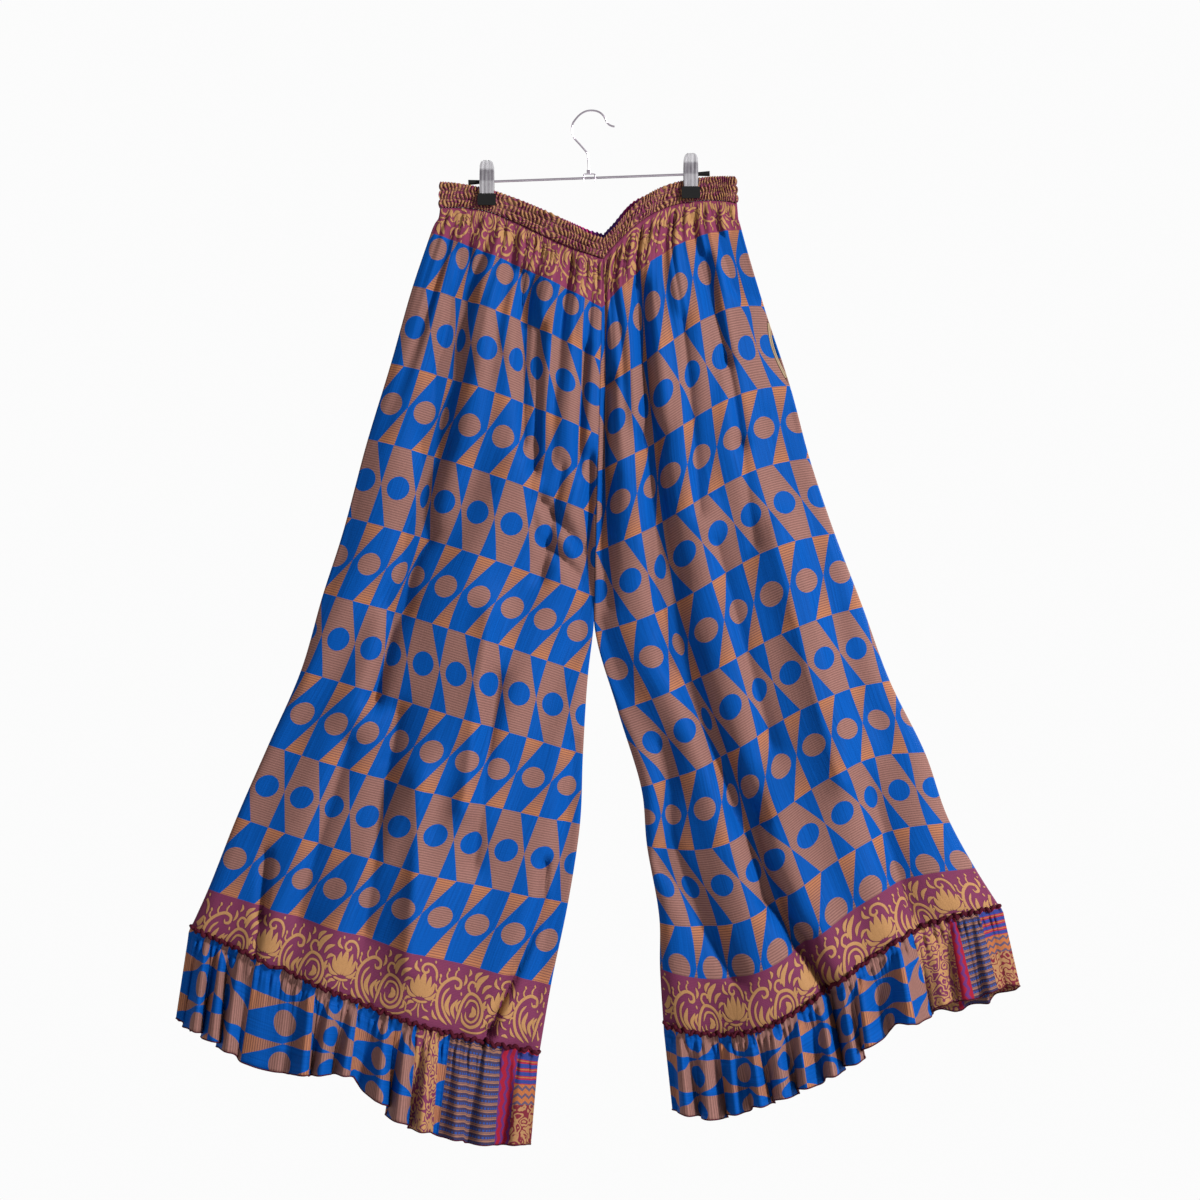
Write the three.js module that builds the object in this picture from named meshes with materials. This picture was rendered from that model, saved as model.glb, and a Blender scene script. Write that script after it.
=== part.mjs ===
import * as THREE from 'three';

// Palazzo pants on a clip hanger, in millimetres.
// X runs along the hanger, Y from the back of the garment to its front, Z up.
// The origin is the inside of the top of the hook, where it is held.
// The back of the garment faces minus Y, its left leg lies on the minus X side.

// Cloth sizes
const CLOTH = 1.2;
const RUFFLE_CLOTH = 1.6;
const BAND_WALL = 3;
const SEAM_HALF_GAP = 0.2;
const BESIDE = 0.45;
const PANEL_COLUMNS = 24;
const RUFFLE_COLUMNS = 48;
const BAND_COLUMNS_A_SIDE = 28;

// Centre seam, a straight line in the view from the back
const CENTRE_TOP = { x: 14.9, z: -178.2 };
const CROTCH = { x: 4, z: -612.6 };

// Rows of one leg from the waist down, each a line across the leg from the side seam to the inner seam.
// v counts rows of the print, bow and skew lift the line at its middle and at its quarters,
// leg is the half depth of the leg, centre the half depth at the centre seam,
// flat is the share of the row beside the side seam that the clip holds flat.
const ROW_FIELDS = ['v', 'sideX', 'sideZ', 'innerX', 'innerZ', 'bow', 'skew', 'leg', 'centre', 'flat'];
const LEFT_ROWS = [
  [-1.1, -179.5, -84.6, 11.3, -151.2, 10.4, 2.0, 0, 14, 0.34],
  [-0.7, -180.7, -115.8, 14.9, -178.2, 10.8, 5.4, 0, 14, 0.34],
  [0.31, -191.5, -145.8, 12.5, -237.0, 6.0, 0.0, 9, 17, 0.2],
  [1, -213.1, -209.4, 8.9, -300.6, 9.6, 0.0, 16, 21, 0.1],
  [2, -239.5, -302.4, 4.1, -389.4, 7.2, 0.0, 21, 23, 0],
  [3, -267.1, -393.0, 1.7, -484.8, 6.0, 0.0, 25, 17, 0],
  [4.32, -300.5, -516.3, 4.0, -612.6, 4.8, 0.0, 30, 0, 0],
  [5, -320.5, -577.8, -3.1, -676.2, 4.8, 0.0, 33, 0, 0],
  [6, -347.5, -670.9, -9.1, -771.0, 1.9, 0.0, 36, 0, 0],
  [7, -386.5, -760.0, -12.7, -855.0, -4.3, 0.0, 39, 0, 0],
  [8, -424.3, -846.4, -27.1, -949.8, -4.8, 0.0, 42, 0, 0],
  [9, -458.5, -932.8, -47.5, -1048.2, 0.0, 0.0, 45, 0, 0],
  [9.8, -481.9, -984.6, -63.1, -1139.4, -13.2, 3.6, 47, 0, 0],
];
const RIGHT_ROWS = [
  [-1.3, 173.3, -78.6, 11.3, -151.2, 27.2, -3.0, 0, 14, 0.34],
  [-1, 175.7, -109.8, 14.9, -178.2, 30.0, -2.0, 0, 14, 0.34],
  [0, 181.2, -142.2, 12.5, -237.0, 15.6, 7.8, 9, 17, 0.2],
  [1, 208.1, -234.2, 7.7, -334.2, 16.4, 7.0, 16, 21, 0.1],
  [2, 239.3, -329.4, 2.9, -432.6, 12.0, 6.6, 21, 22, 0],
  [3, 262.7, -416.3, 6.5, -528.6, 9.0, 7.2, 25, 13, 0],
  [3.87, 288.7, -494.9, 4.0, -612.6, 4.8, 9.6, 29, 0, 0],
  [5, 326.4, -594.6, 32.9, -719.4, 5.3, 6.4, 33, 0, 0],
  [6, 358.9, -683.2, 60.5, -810.6, 6.0, 10.2, 36, 0, 0],
  [7, 401.0, -769.0, 67.7, -881.4, -6.0, 21.6, 39, 0, 0],
  [8, 431.3, -853.1, 82.9, -973.4, -7.8, 21.6, 42, 0, 0],
  [8.6, 461.3, -907.8, 83.3, -1028.4, -14.4, 25.8, 44, 0, 0],
  [9.2, 494.9, -960.6, 88.1, -1105.8, -18.0, 25.2, 46, 0, 0],
];

// Print rows at which each panel has a row of points
const LEFT_STOPS = [-0.7, -0.2, 0.31, 1, 1.5, 2, 2.5, 3, 3.66, 4.32, 5, 5.5, 6, 6.5, 7, 7.5, 8, 8.5, 9, 9.8];
const RIGHT_STOPS = [-1, -0.5, 0, 0.6, 1, 1.35, 1.7, 2, 2.5, 3, 3.45, 3.87, 4.4, 5, 5.5, 6, 6.5, 7, 8, 8.6, 9.2];

// Bottom edge of each ruffle: its two ends, and the lift of the edge over the straight line between them
const RUFFLE_ENDS = {
  left: { sideX: -497.5, sideZ: -1087.8, innerX: -71.5, innerZ: -1239.0 },
  right: { sideX: 515.3, sideZ: -1049.4, innerX: 98.0, innerZ: -1197.5 },
};
const RUFFLE_LIFT = {
  left: [0, -11, -16, -3, 13, -17, -21, -15, 0],
  right: [0, -9, 0, 13, -15, -23, -25, -26, 0],
};
const RUFFLE_ROWS = [0, 0.3, 0.62, 1];
const RUFFLE_WAVES = 12;
const RUFFLE_WAVE_HEIGHT = 7;
const HEADING_HEIGHT = 7;
const HEADING_WAVE = 3;
const RUFFLE_FLARE = 8;

// Folds as lines on the panel with the half width and the depth of the valley
const FOLD_FIELDS = ['x1', 'z1', 'x2', 'z2', 'width', 'depth'];
const BACK_FOLDS = {
  left: [
    [-154, -166, -175, -394, 12, 7],
    [-175, -394, -193, -538, 13, 9],
    [-193, -538, -241, -706, 15, 9],
    [-133, -214, -139, -406, 10, 5],
    [-139, -406, -151, -514, 11, 4],
    [-85, -226, -91, -394, 10, 5],
    [-61, -262, -67, -430, 10, 6],
    [-7, -286, -13, -430, 9, 4],
    [-120, -600, -150, -830, 22, -7],
    [-16, -760, -55, -1078, 14, 6],
    [-290, -760, -350, -960, 24, 7],
    [-200, -800, -215, -1020, 24, -7],
  ],
  right: [
    [56, -214, 65, -394, 12, 9],
    [65, -394, 93, -634, 14, 12],
    [93, -634, 177, -836, 16, 12],
    [177, -836, 273, -1042, 18, 11],
    [153, -166, 200, -286, 10, 5],
    [200, -286, 215, -334, 10, 5],
    [17, -214, 23, -322, 9, 4],
    [23, -322, 11, -538, 10, 5],
    [88, -761, 94, -899, 14, 5],
    [94, -899, 173, -1036, 16, 7],
    [230, -500, 300, -800, 24, -7],
    [330, -800, 380, -960, 24, 7],
  ],
};
const FRONT_FOLDS = {
  left: [
    [-140, -170, -160, -420, 12, 7],
    [-160, -420, -225, -720, 16, 9],
    [-80, -220, -95, -470, 12, 6],
    [-20, -260, -30, -500, 12, 5],
    [-110, -640, -160, -960, 20, 8],
    [-280, -740, -340, -960, 24, -7],
  ],
  right: [
    [60, -210, 75, -460, 12, 7],
    [75, -460, 130, -720, 16, 9],
    [130, -720, 230, -1020, 20, 9],
    [140, -170, 180, -400, 12, 6],
    [20, -260, 25, -500, 12, 5],
    [260, -560, 330, -860, 24, -7],
  ],
};
const GATHER_HEIGHT = 1.8;
const GATHER_FADE = 2.2;

// Waistband: stitched channels, puckers, and how much higher the front stands at its middle
const BAND_ROWS = [0, 0.17, 0.34, 0.5, 0.67, 0.84, 1];
const BAND_PUFF = [0.2, 1.3, 0.3, 1.4, 0.3, 1.3, 0.2];
const BAND_PUCKER = 0.7;
const FRONT_RISE = 5;

// Pocket on the right side seam
const POCKET = { top: -244, bottom: -332, gape: 9 };
const POCKET_FACING = { cloth: 1, fill: 0.72, rows: 6 };
const POCKET_BAG = {
  cloth: 1, mouth: 2.6, halfDepth: 1.3, outer: 14, inner: 112, top: -250, bottom: -425, drift: -60,
};

// Hanger
const ROD = { radius: 1.5, middleX: -0.7, middleZ: -79.8, slope: 0.0367, leftEnd: -132.4, rightEnd: 128.6 };
const END_CAP = { length: 14, inner: 2.4, outer: 3.2, gap: 0.3 };
const HOOK_RADIUS = 1.2;
const HOOK_PATH = [
  [-2.2, -70], [-2.6, -60], [-3.4, -51], [-6.1, -47.4], [-13.4, -39], [-19.6, -31.8], [-22.3, -22.9],
  [-21.4, -14.4], [-17.8, -9], [-13.4, -4.2], [-6.1, 0.2], [1.2, 1.3], [8.6, 0.1], [13.4, -2.8],
  [17.3, -7.8], [20.2, -13.8], [23.3, -16.6], [28.8, -18.2],
];
const COLLAR = { radius: 2.6, top: -70.3, bottom: -74 };
const SADDLE = { wire: 0.8, left: -8.1, right: 5.3, top: -75.2, bottom: -84, front: -2.7 };

// Clips: x of each, height of the top and of the foot, and the shape of a jaw from its top to its foot
const CLIPS = {
  left: { x: -124.3, top: -59.9, footTop: -99.9, footBottom: -113.6 },
  right: { x: 120.1, top: -51.4, footTop: -91.5, footBottom: -105.4 },
};
const JAW_WALL = 2;
// share of the jaw's height, half width, distance of its middle from the rod's plane
const JAW_ROWS = [
  [0, 4.2, 8.8], [0.05, 6.9, 8.5], [0.15, 8.4, 7.9], [0.45, 8.75, 6.2], [0.62, 8.75, 5.9], [0.78, 8.75, 8.2], [1, 8.4, 9.2],
];
const JAW_RIBS = [0, 0.5, 0, 0.5, 0, 0.5, 0];
const FOOT = { width: 22, depth: 4, corner: 2, middle: 9.2 };
const SPRING = { inner: 1.9, outer: 4.2, length: 11 };

const lerp = (a, b, share) => a + (b - a) * share;
const clamp = (value, low, high) => Math.min(high, Math.max(low, value));
const smooth = (value) => {
  const held = clamp(value, 0, 1);
  return held * held * (3 - 2 * held);
};
const named = (fields, values) => Object.fromEntries(fields.map((field, i) => [field, values[i]]));

const LEGS = {
  left: { rows: LEFT_ROWS.map((row) => named(ROW_FIELDS, row)), stops: LEFT_STOPS, out: -1 },
  right: { rows: RIGHT_ROWS.map((row) => named(ROW_FIELDS, row)), stops: RIGHT_STOPS, out: 1 },
};

// Centre seam x at a height
function centreX(z) {
  return lerp(CENTRE_TOP.x, CROTCH.x, (z - CENTRE_TOP.z) / (CROTCH.z - CENTRE_TOP.z));
}

// Point of a table row: x, height, and half depth of the middle of the cloth without folds
function rowPoint(row, s) {
  const arch = 4 * s * (1 - s);
  const z = lerp(row.sideZ, row.innerZ, s) + row.bow * arch + row.skew * Math.sin(2 * Math.PI * s);
  const toCentre = smooth((s - row.flat) / (1 - row.flat));
  const depth = row.centre * toCentre + row.leg * Math.sin(Math.PI * s) ** 0.8;
  return { x: lerp(row.sideX, row.innerX, s), z, depth };
}

// Point between two table rows
function basePoint(leg, s, v) {
  const rows = leg.rows;
  let i = 0;
  while (i < rows.length - 2 && v > rows[i + 1].v) i += 1;
  const share = (v - rows[i].v) / (rows[i + 1].v - rows[i].v);
  const above = rowPoint(rows[i], s);
  const below = rowPoint(rows[i + 1], s);
  return {
    x: lerp(above.x, below.x, share),
    z: lerp(above.z, below.z, share),
    depth: lerp(above.depth, below.depth, share),
  };
}

function distanceToFold(fold, x, z) {
  const dx = fold.x2 - fold.x1;
  const dz = fold.z2 - fold.z1;
  const along = clamp(((x - fold.x1) * dx + (z - fold.z1) * dz) / (dx * dx + dz * dz), 0, 1);
  return Math.hypot(x - fold.x1 - along * dx, z - fold.z1 - along * dz);
}

function foldDepth(folds, x, z) {
  let depth = 0;
  for (const fold of folds) {
    depth += fold.depth * Math.exp(-((distanceToFold(fold, x, z) / fold.width) ** 2));
  }
  return depth;
}

// Gathers below the waistband, one for every two columns
function gather(leg, column, v) {
  const below = v - leg.stops[0];
  const height = GATHER_HEIGHT * smooth(below / 0.4) * (1 - smooth(below / GATHER_FADE));
  return column % 2 === 0 ? height : -height;
}

// How far the right back panel stands open at the pocket
function pocketGape(z) {
  const share = (z - POCKET.top) / (POCKET.bottom - POCKET.top);
  if (share <= 0 || share >= 1) return 0;
  return POCKET.gape * Math.sin(Math.PI * share);
}

// Middle of the cloth of a panel; face is minus one at the back and one at the front
function panelMiddle(legName, face, column, v) {
  const leg = LEGS[legName];
  const s = column / PANEL_COLUMNS;
  const point = basePoint(leg, s, v);
  const folds = (face < 0 ? BACK_FOLDS : FRONT_FOLDS)[legName].map((fold) => named(FOLD_FIELDS, fold));
  const atEdge = column === 0 || column === PANEL_COLUMNS;
  let depth = point.depth;
  if (!atEdge && v > leg.stops[0]) {
    const moved = foldDepth(folds, point.x, point.z) + gather(leg, column, v);
    depth -= clamp(moved, -0.5 * point.depth, 0.5 * point.depth);
  }
  let x = point.x;
  if (column === PANEL_COLUMNS && point.z >= CROTCH.z - 0.01) {
    x = centreX(point.z) + leg.out * SEAM_HALF_GAP;
  }
  if (legName === 'right' && face < 0) {
    x -= pocketGape(point.z) * (1 - s) ** 6;
  }
  return new THREE.Vector3(x, face * (depth + CLOTH / 2 + SEAM_HALF_GAP), point.z);
}

// Outward direction of a grid of points at one of them
function gridNormal(grid, i, j, face) {
  const rows = grid.length;
  const columns = grid[0].length;
  const down = grid[Math.min(i + 1, rows - 1)][j].clone().sub(grid[Math.max(i - 1, 0)][j]);
  const across = grid[i][Math.min(j + 1, columns - 1)].clone().sub(grid[i][Math.max(j - 1, 0)]);
  const normal = across.cross(down).normalize();
  return normal.y * face < 0 ? normal.negate() : normal;
}

// Two faces of a wall around the grid of its middle; the two upright edges are flat across Y
function wallFaces(grid, thickness, face) {
  const straight = new THREE.Vector3(0, face, 0);
  const last = grid[0].length - 1;
  const move = (side) => grid.map((row, i) => row.map((point, j) => {
    const normal = j === 0 || j === last ? straight : gridNormal(grid, i, j, face);
    return point.clone().addScaledVector(normal, side * thickness / 2);
  }));
  return { inner: move(-1), outer: move(1) };
}

function signedVolume(points, index) {
  let volume = 0;
  for (let i = 0; i < index.length; i += 3) {
    const [a, b, c] = [points[index[i]], points[index[i + 1]], points[index[i + 2]]];
    volume += a.dot(b.clone().cross(c));
  }
  return volume;
}

// Closed wall between two grids of the same size
function gridSolid({ inner, outer }) {
  const rows = outer.length;
  const columns = outer[0].length;
  const points = [...outer.flat(), ...inner.flat()];
  const at = (side, i, j) => side * rows * columns + i * columns + j;
  const index = [];
  const quad = (a, b, c, d) => index.push(a, b, c, a, c, d);
  for (let i = 0; i < rows - 1; i += 1) {
    for (let j = 0; j < columns - 1; j += 1) {
      quad(at(0, i, j), at(0, i + 1, j), at(0, i + 1, j + 1), at(0, i, j + 1));
      quad(at(1, i, j), at(1, i, j + 1), at(1, i + 1, j + 1), at(1, i + 1, j));
    }
  }
  for (let i = 0; i < rows - 1; i += 1) {
    quad(at(0, i, 0), at(1, i, 0), at(1, i + 1, 0), at(0, i + 1, 0));
    quad(at(0, i, columns - 1), at(0, i + 1, columns - 1), at(1, i + 1, columns - 1), at(1, i, columns - 1));
  }
  for (let j = 0; j < columns - 1; j += 1) {
    quad(at(0, 0, j), at(0, 0, j + 1), at(1, 0, j + 1), at(1, 0, j));
    quad(at(0, rows - 1, j), at(1, rows - 1, j), at(1, rows - 1, j + 1), at(0, rows - 1, j + 1));
  }
  if (signedVolume(points, index) < 0) index.reverse();
  const geometry = new THREE.BufferGeometry();
  geometry.setAttribute('position', new THREE.Float32BufferAttribute(points.flatMap((p) => [p.x, p.y, p.z]), 3));
  geometry.setIndex(index);
  geometry.computeVertexNormals();
  return geometry;
}

const columnList = (count) => Array.from({ length: count + 1 }, (_, column) => column);

function panelFaces(legName, face) {
  const grid = LEGS[legName].stops.map((v) => {
    return columnList(PANEL_COLUMNS).map((column) => panelMiddle(legName, face, column, v));
  });
  // The top row lies a seam gap under the waistband
  for (const point of grid[0]) point.z -= 0.3;
  return wallFaces(grid, CLOTH, face);
}

// Waistband half with three puffed channels
function bandFaces(face) {
  const inner = [];
  const outer = [];
  BAND_ROWS.forEach((share, i) => {
    const innerRow = [];
    const outerRow = [];
    for (let column = 0; column <= 2 * BAND_COLUMNS_A_SIDE; column += 1) {
      const leg = column <= BAND_COLUMNS_A_SIDE ? LEGS.left : LEGS.right;
      const s = 1 - Math.abs(column - BAND_COLUMNS_A_SIDE) / BAND_COLUMNS_A_SIDE;
      const top = rowPoint(leg.rows[0], s);
      const bottom = rowPoint(leg.rows[1], s);
      const rise = face > 0 ? FRONT_RISE * smooth((s - 0.7) / 0.3) * (1 - share) : 0;
      const x = lerp(top.x, bottom.x, share);
      const z = lerp(top.z, bottom.z, share) + rise;
      const y = SEAM_HALF_GAP + lerp(top.depth, bottom.depth, share);
      const pucker = column % 2 === 0 ? BAND_PUCKER : 0;
      innerRow.push(new THREE.Vector3(x, face * y, z));
      outerRow.push(new THREE.Vector3(x, face * (y + BAND_WALL + BAND_PUFF[i] + pucker * BAND_PUFF[i]), z));
    }
    inner.push(innerRow);
    outer.push(outerRow);
  });
  return { inner, outer };
}

// Height of the ruffle's bottom edge over the straight line between its ends
function edgeLift(legName, s) {
  const lifts = RUFFLE_LIFT[legName];
  const place = s * (lifts.length - 1);
  const i = Math.min(lifts.length - 2, Math.floor(place));
  return lerp(lifts[i], lifts[i + 1], smooth(place - i));
}

// Point on the outer face of a panel between its last two rows; up is the share of the way to the upper one.
// The lower triangle of each cell of the face is followed, so the point lies on the face itself.
function panelHemPoint(outer, s, up) {
  const place = s * PANEL_COLUMNS;
  const j = Math.min(PANEL_COLUMNS - 1, Math.floor(place));
  const across = place - j;
  const corner = outer[outer.length - 1][j];
  const beside = outer[outer.length - 1][j + 1];
  const above = outer[outer.length - 2][j];
  if (across > 1 - up) {
    const lifted = outer[outer.length - 2][j + 1];
    return beside.clone().lerp(lifted, up);
  }
  const moved = corner.clone().lerp(beside, across);
  return moved.addScaledVector(above.clone().sub(corner), up);
}

// Ruffle with its heading standing above the seam
function ruffleFaces(legName, face, panelOuter) {
  const ends = RUFFLE_ENDS[legName];
  const lastRows = LEGS[legName].rows.slice(-2);
  const rowHeight = lastRows[0].sideZ - lastRows[1].sideZ;
  const phase = face < 0 ? 0 : 1;
  const wave = (column) => Math.cos(2 * Math.PI * (column / RUFFLE_COLUMNS) * RUFFLE_WAVES + phase * Math.PI);
  const columns = columnList(RUFFLE_COLUMNS);
  const beside = (column, up, waveOut) => {
    const point = panelHemPoint(panelOuter, column / RUFFLE_COLUMNS, up);
    point.y += face * (BESIDE + waveOut * (0.5 + 0.5 * wave(column)));
    return point;
  };
  const heading = columns.map((column) => beside(column, HEADING_HEIGHT / rowHeight, HEADING_WAVE));
  const seam = columns.map((column) => beside(column, 0, 0));
  const falling = RUFFLE_ROWS.slice(1).map((share) => columns.map((column) => {
    const s = column / RUFFLE_COLUMNS;
    const hem = seam[column];
    const bottomZ = lerp(ends.sideZ, ends.innerZ, s) + edgeLift(legName, s);
    const flare = RUFFLE_FLARE * Math.sin(Math.PI * s);
    const depth = Math.abs(hem.y) + flare * share;
    const edge = clamp(Math.min(column, RUFFLE_COLUMNS - column) / 3, 0, 1);
    const height = Math.min(RUFFLE_WAVE_HEIGHT * share ** 0.6, 0.6 * depth) * edge;
    const x = lerp(hem.x, lerp(ends.sideX, ends.innerX, s), share);
    const y = Math.max(depth + height * wave(column), SEAM_HALF_GAP + RUFFLE_CLOTH / 2);
    return new THREE.Vector3(x, face * y, lerp(hem.z, bottomZ, share));
  }));
  const fallWall = wallFaces([seam, ...falling], RUFFLE_CLOTH, face);
  const thicken = (row) => row.map((point) => point.clone().add(new THREE.Vector3(0, face * RUFFLE_CLOTH, 0)));
  return {
    inner: [heading, seam, ...fallWall.inner.slice(1)],
    outer: [thicken(heading), thicken(seam), ...fallWall.outer.slice(1)],
  };
}

// Strip along the open edge of the pocket, made from the back panel's edge points
function pocketFacingFaces(panel) {
  const leg = LEGS.right;
  const edge = leg.stops.map((v, i) => ({ open: panel[i][0], seam: basePoint(leg, 0, v) }));
  const inner = [];
  const outer = [];
  for (let i = 0; i <= POCKET_FACING.rows; i += 1) {
    const z = lerp(POCKET.top - 10, POCKET.bottom + 12, i / POCKET_FACING.rows);
    const k = edge.findIndex((point, n) => n > 0 && point.open.z <= z);
    const share = (edge[k - 1].open.z - z) / (edge[k - 1].open.z - edge[k].open.z);
    const openX = lerp(edge[k - 1].open.x, edge[k].open.x, share) + 0.3;
    const seamX = lerp(edge[k - 1].seam.x, edge[k].seam.x, share);
    const farX = Math.max(openX + 0.8, lerp(openX, seamX, POCKET_FACING.fill));
    const low = -SEAM_HALF_GAP - POCKET_FACING.cloth;
    outer.push([new THREE.Vector3(openX, low, z), new THREE.Vector3(farX, low, z)]);
    inner.push([new THREE.Vector3(openX, -SEAM_HALF_GAP, z), new THREE.Vector3(farX, -SEAM_HALF_GAP, z)]);
  }
  return { inner, outer };
}

// Pocket bag: one sheet folded over at its inner side
function pocketBagFaces() {
  const bag = POCKET_BAG;
  const half = bag.halfDepth;
  const turn = bag.inner - 3;
  const across = [[bag.outer, -bag.mouth], [turn, -half], [bag.inner, 0], [turn, half], [bag.outer, bag.mouth]];
  const thin = [[0, -1], [0, -1], [1, 0], [0, 1], [0, 1]];
  const leg = LEGS.right;
  const face = (side) => [0, 0.25, 0.5, 0.75, 1].map((share) => across.map(([reach, y], j) => {
    const seamX = basePoint(leg, 0, lerp(1.1, 2, share)).x;
    const move = side * bag.cloth / 2;
    const z = lerp(bag.top, bag.bottom, share) + bag.drift * (reach - bag.outer) / bag.inner;
    return new THREE.Vector3(seamX - reach - thin[j][0] * move, y + thin[j][1] * move, z);
  }));
  return { inner: face(-1), outer: face(1) };
}

function rodZ(x) {
  return ROD.middleZ + ROD.slope * (x - ROD.middleX);
}

// Put a shape made along Y onto the line of the rod
function onRod(geometry, x) {
  geometry.rotateZ(-Math.PI / 2);
  geometry.rotateY(-Math.atan(ROD.slope));
  geometry.translate(x, 0, rodZ(x));
  return geometry;
}

function rod() {
  const length = (ROD.rightEnd - ROD.leftEnd) / Math.cos(Math.atan(ROD.slope));
  return onRod(new THREE.CylinderGeometry(ROD.radius, ROD.radius, length, 14), (ROD.leftEnd + ROD.rightEnd) / 2);
}

function endCap(side) {
  const start = side < 0 ? ROD.leftEnd - END_CAP.gap : ROD.rightEnd + END_CAP.gap;
  const radii = side < 0 ? [END_CAP.inner, END_CAP.outer] : [END_CAP.outer, END_CAP.inner];
  const cone = new THREE.CylinderGeometry(radii[0], radii[1], END_CAP.length, 14);
  return onRod(cone, start + side * END_CAP.length / 2);
}

function ring(innerRadius, outerRadius, length) {
  const half = length / 2;
  const profile = [
    new THREE.Vector2(innerRadius, -half), new THREE.Vector2(outerRadius, -half),
    new THREE.Vector2(outerRadius, half), new THREE.Vector2(innerRadius, half),
    new THREE.Vector2(innerRadius, -half),
  ];
  return new THREE.LatheGeometry(profile, 14);
}

function wire(points, radius, steps) {
  const circle = new THREE.Shape();
  circle.absarc(0, 0, radius, 0, 2 * Math.PI, false);
  const path = new THREE.CatmullRomCurve3(points.map((p) => new THREE.Vector3(...p)));
  return new THREE.ExtrudeGeometry(circle, { steps, curveSegments: 4, bevelEnabled: false, extrudePath: path });
}

function saddle() {
  const { left, right, top, bottom, front } = SADDLE;
  const points = [
    [left, front, bottom], [left, front, bottom + 3], [left, front, bottom + 5.5], [left + 0.6, 0, top],
    [left + 3, 0, top + 0.1], [right - 3, 0, top + 0.1], [right - 0.6, 0, top],
    [right, front, bottom + 5.5], [right, front, bottom + 3], [right, front, bottom],
  ];
  return wire(points, SADDLE.wire, 20);
}

function collar() {
  const height = COLLAR.top - COLLAR.bottom;
  const geometry = new THREE.CylinderGeometry(COLLAR.radius, COLLAR.radius, height, 14);
  geometry.rotateX(Math.PI / 2);
  geometry.translate(HOOK_PATH[0][0], 0, (COLLAR.top + COLLAR.bottom) / 2);
  return geometry;
}

function jawFaces(clip, face) {
  const bottom = clip.footTop + 0.3;
  const build = (side) => JAW_ROWS.map(([share, halfWidth, middle]) => JAW_RIBS.map((rib, j) => {
    const x = clip.x + halfWidth * lerp(-1, 1, j / (JAW_RIBS.length - 1));
    const y = middle + side * (JAW_WALL / 2) + (side > 0 ? rib : 0);
    return new THREE.Vector3(x, face * y, lerp(clip.top, bottom, share));
  }));
  return { inner: build(-1), outer: build(1) };
}

function foot(clip, face) {
  const { width, corner } = FOOT;
  const height = clip.footTop - clip.footBottom;
  const shape = new THREE.Shape();
  shape.moveTo(-width / 2 + corner, -height / 2);
  shape.lineTo(width / 2 - corner, -height / 2);
  shape.quadraticCurveTo(width / 2, -height / 2, width / 2, -height / 2 + corner);
  shape.lineTo(width / 2, height / 2 - corner);
  shape.quadraticCurveTo(width / 2, height / 2, width / 2 - corner, height / 2);
  shape.lineTo(-width / 2 + corner, height / 2);
  shape.quadraticCurveTo(-width / 2, height / 2, -width / 2, height / 2 - corner);
  shape.lineTo(-width / 2, -height / 2 + corner);
  shape.quadraticCurveTo(-width / 2, -height / 2, -width / 2 + corner, -height / 2);
  const geometry = new THREE.ExtrudeGeometry(shape, { depth: FOOT.depth, curveSegments: 3, bevelEnabled: false });
  geometry.rotateX(Math.PI / 2);
  geometry.translate(clip.x, face * FOOT.middle + FOOT.depth / 2, (clip.footTop + clip.footBottom) / 2);
  return geometry;
}

const MATERIALS = {
  silk: { color: 0x1c4fae, roughness: 0.55, metalness: 0 },
  waist_silk: { color: 0xa8607a, roughness: 0.6, metalness: 0 },
  pocket_cloth: { color: 0xcdb9a0, roughness: 0.8, metalness: 0 },
  chrome: { color: 0xc8c8cc, roughness: 0.2, metalness: 1 },
  clear_plastic: { color: 0xcfd2d4, roughness: 0.25, metalness: 0 },
  black_rubber: { color: 0x101010, roughness: 0.7, metalness: 0 },
};
const surfaces = Object.fromEntries(Object.entries(MATERIALS).map(([slot, look]) => {
  const material = new THREE.MeshStandardMaterial(look);
  material.name = slot;
  return [slot, material];
}));

const group = new THREE.Group();
group.name = 'palazzo_pants';
function add(name, geometry, slot) {
  const mesh = new THREE.Mesh(geometry, surfaces[slot]);
  mesh.name = name;
  group.add(mesh);
}

const FACES = { back: -1, front: 1 };
for (const [faceName, face] of Object.entries(FACES)) {
  add(`waistband_${faceName}`, gridSolid(bandFaces(face)), 'waist_silk');
  for (const legName of Object.keys(LEGS)) {
    const panel = panelFaces(legName, face);
    add(`panel_${legName}_${faceName}`, gridSolid(panel), 'silk');
    add(`ruffle_${legName}_${faceName}`, gridSolid(ruffleFaces(legName, face, panel.outer)), 'silk');
    if (legName === 'right' && face < 0) {
      add('pocket_facing', gridSolid(pocketFacingFaces(panel.outer)), 'pocket_cloth');
      add('pocket_bag', gridSolid(pocketBagFaces()), 'pocket_cloth');
    }
  }
}

add('hanger_rod', rod(), 'chrome');
add('hanger_hook', wire(HOOK_PATH.map(([x, z]) => [x, 0, z]), HOOK_RADIUS, 38), 'chrome');
add('hanger_collar', collar(), 'chrome');
add('hanger_saddle', saddle(), 'chrome');
add('end_cap_left', endCap(-1), 'black_rubber');
add('end_cap_right', endCap(1), 'black_rubber');
for (const [clipName, clip] of Object.entries(CLIPS)) {
  for (const [faceName, face] of Object.entries(FACES)) {
    add(`jaw_${clipName}_${faceName}`, gridSolid(jawFaces(clip, face)), 'clear_plastic');
    add(`foot_${clipName}_${faceName}`, foot(clip, face), 'black_rubber');
  }
  add(`spring_${clipName}`, onRod(ring(SPRING.inner, SPRING.outer, SPRING.length), clip.x), 'chrome');
}

export default group;
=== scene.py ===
"""Palazzo pants on a clip hanger, back side to the camera.

Sizes are in millimetres unless a name or a comment says otherwise.
"""
import math
from functools import partialmethod
from types import SimpleNamespace

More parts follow.
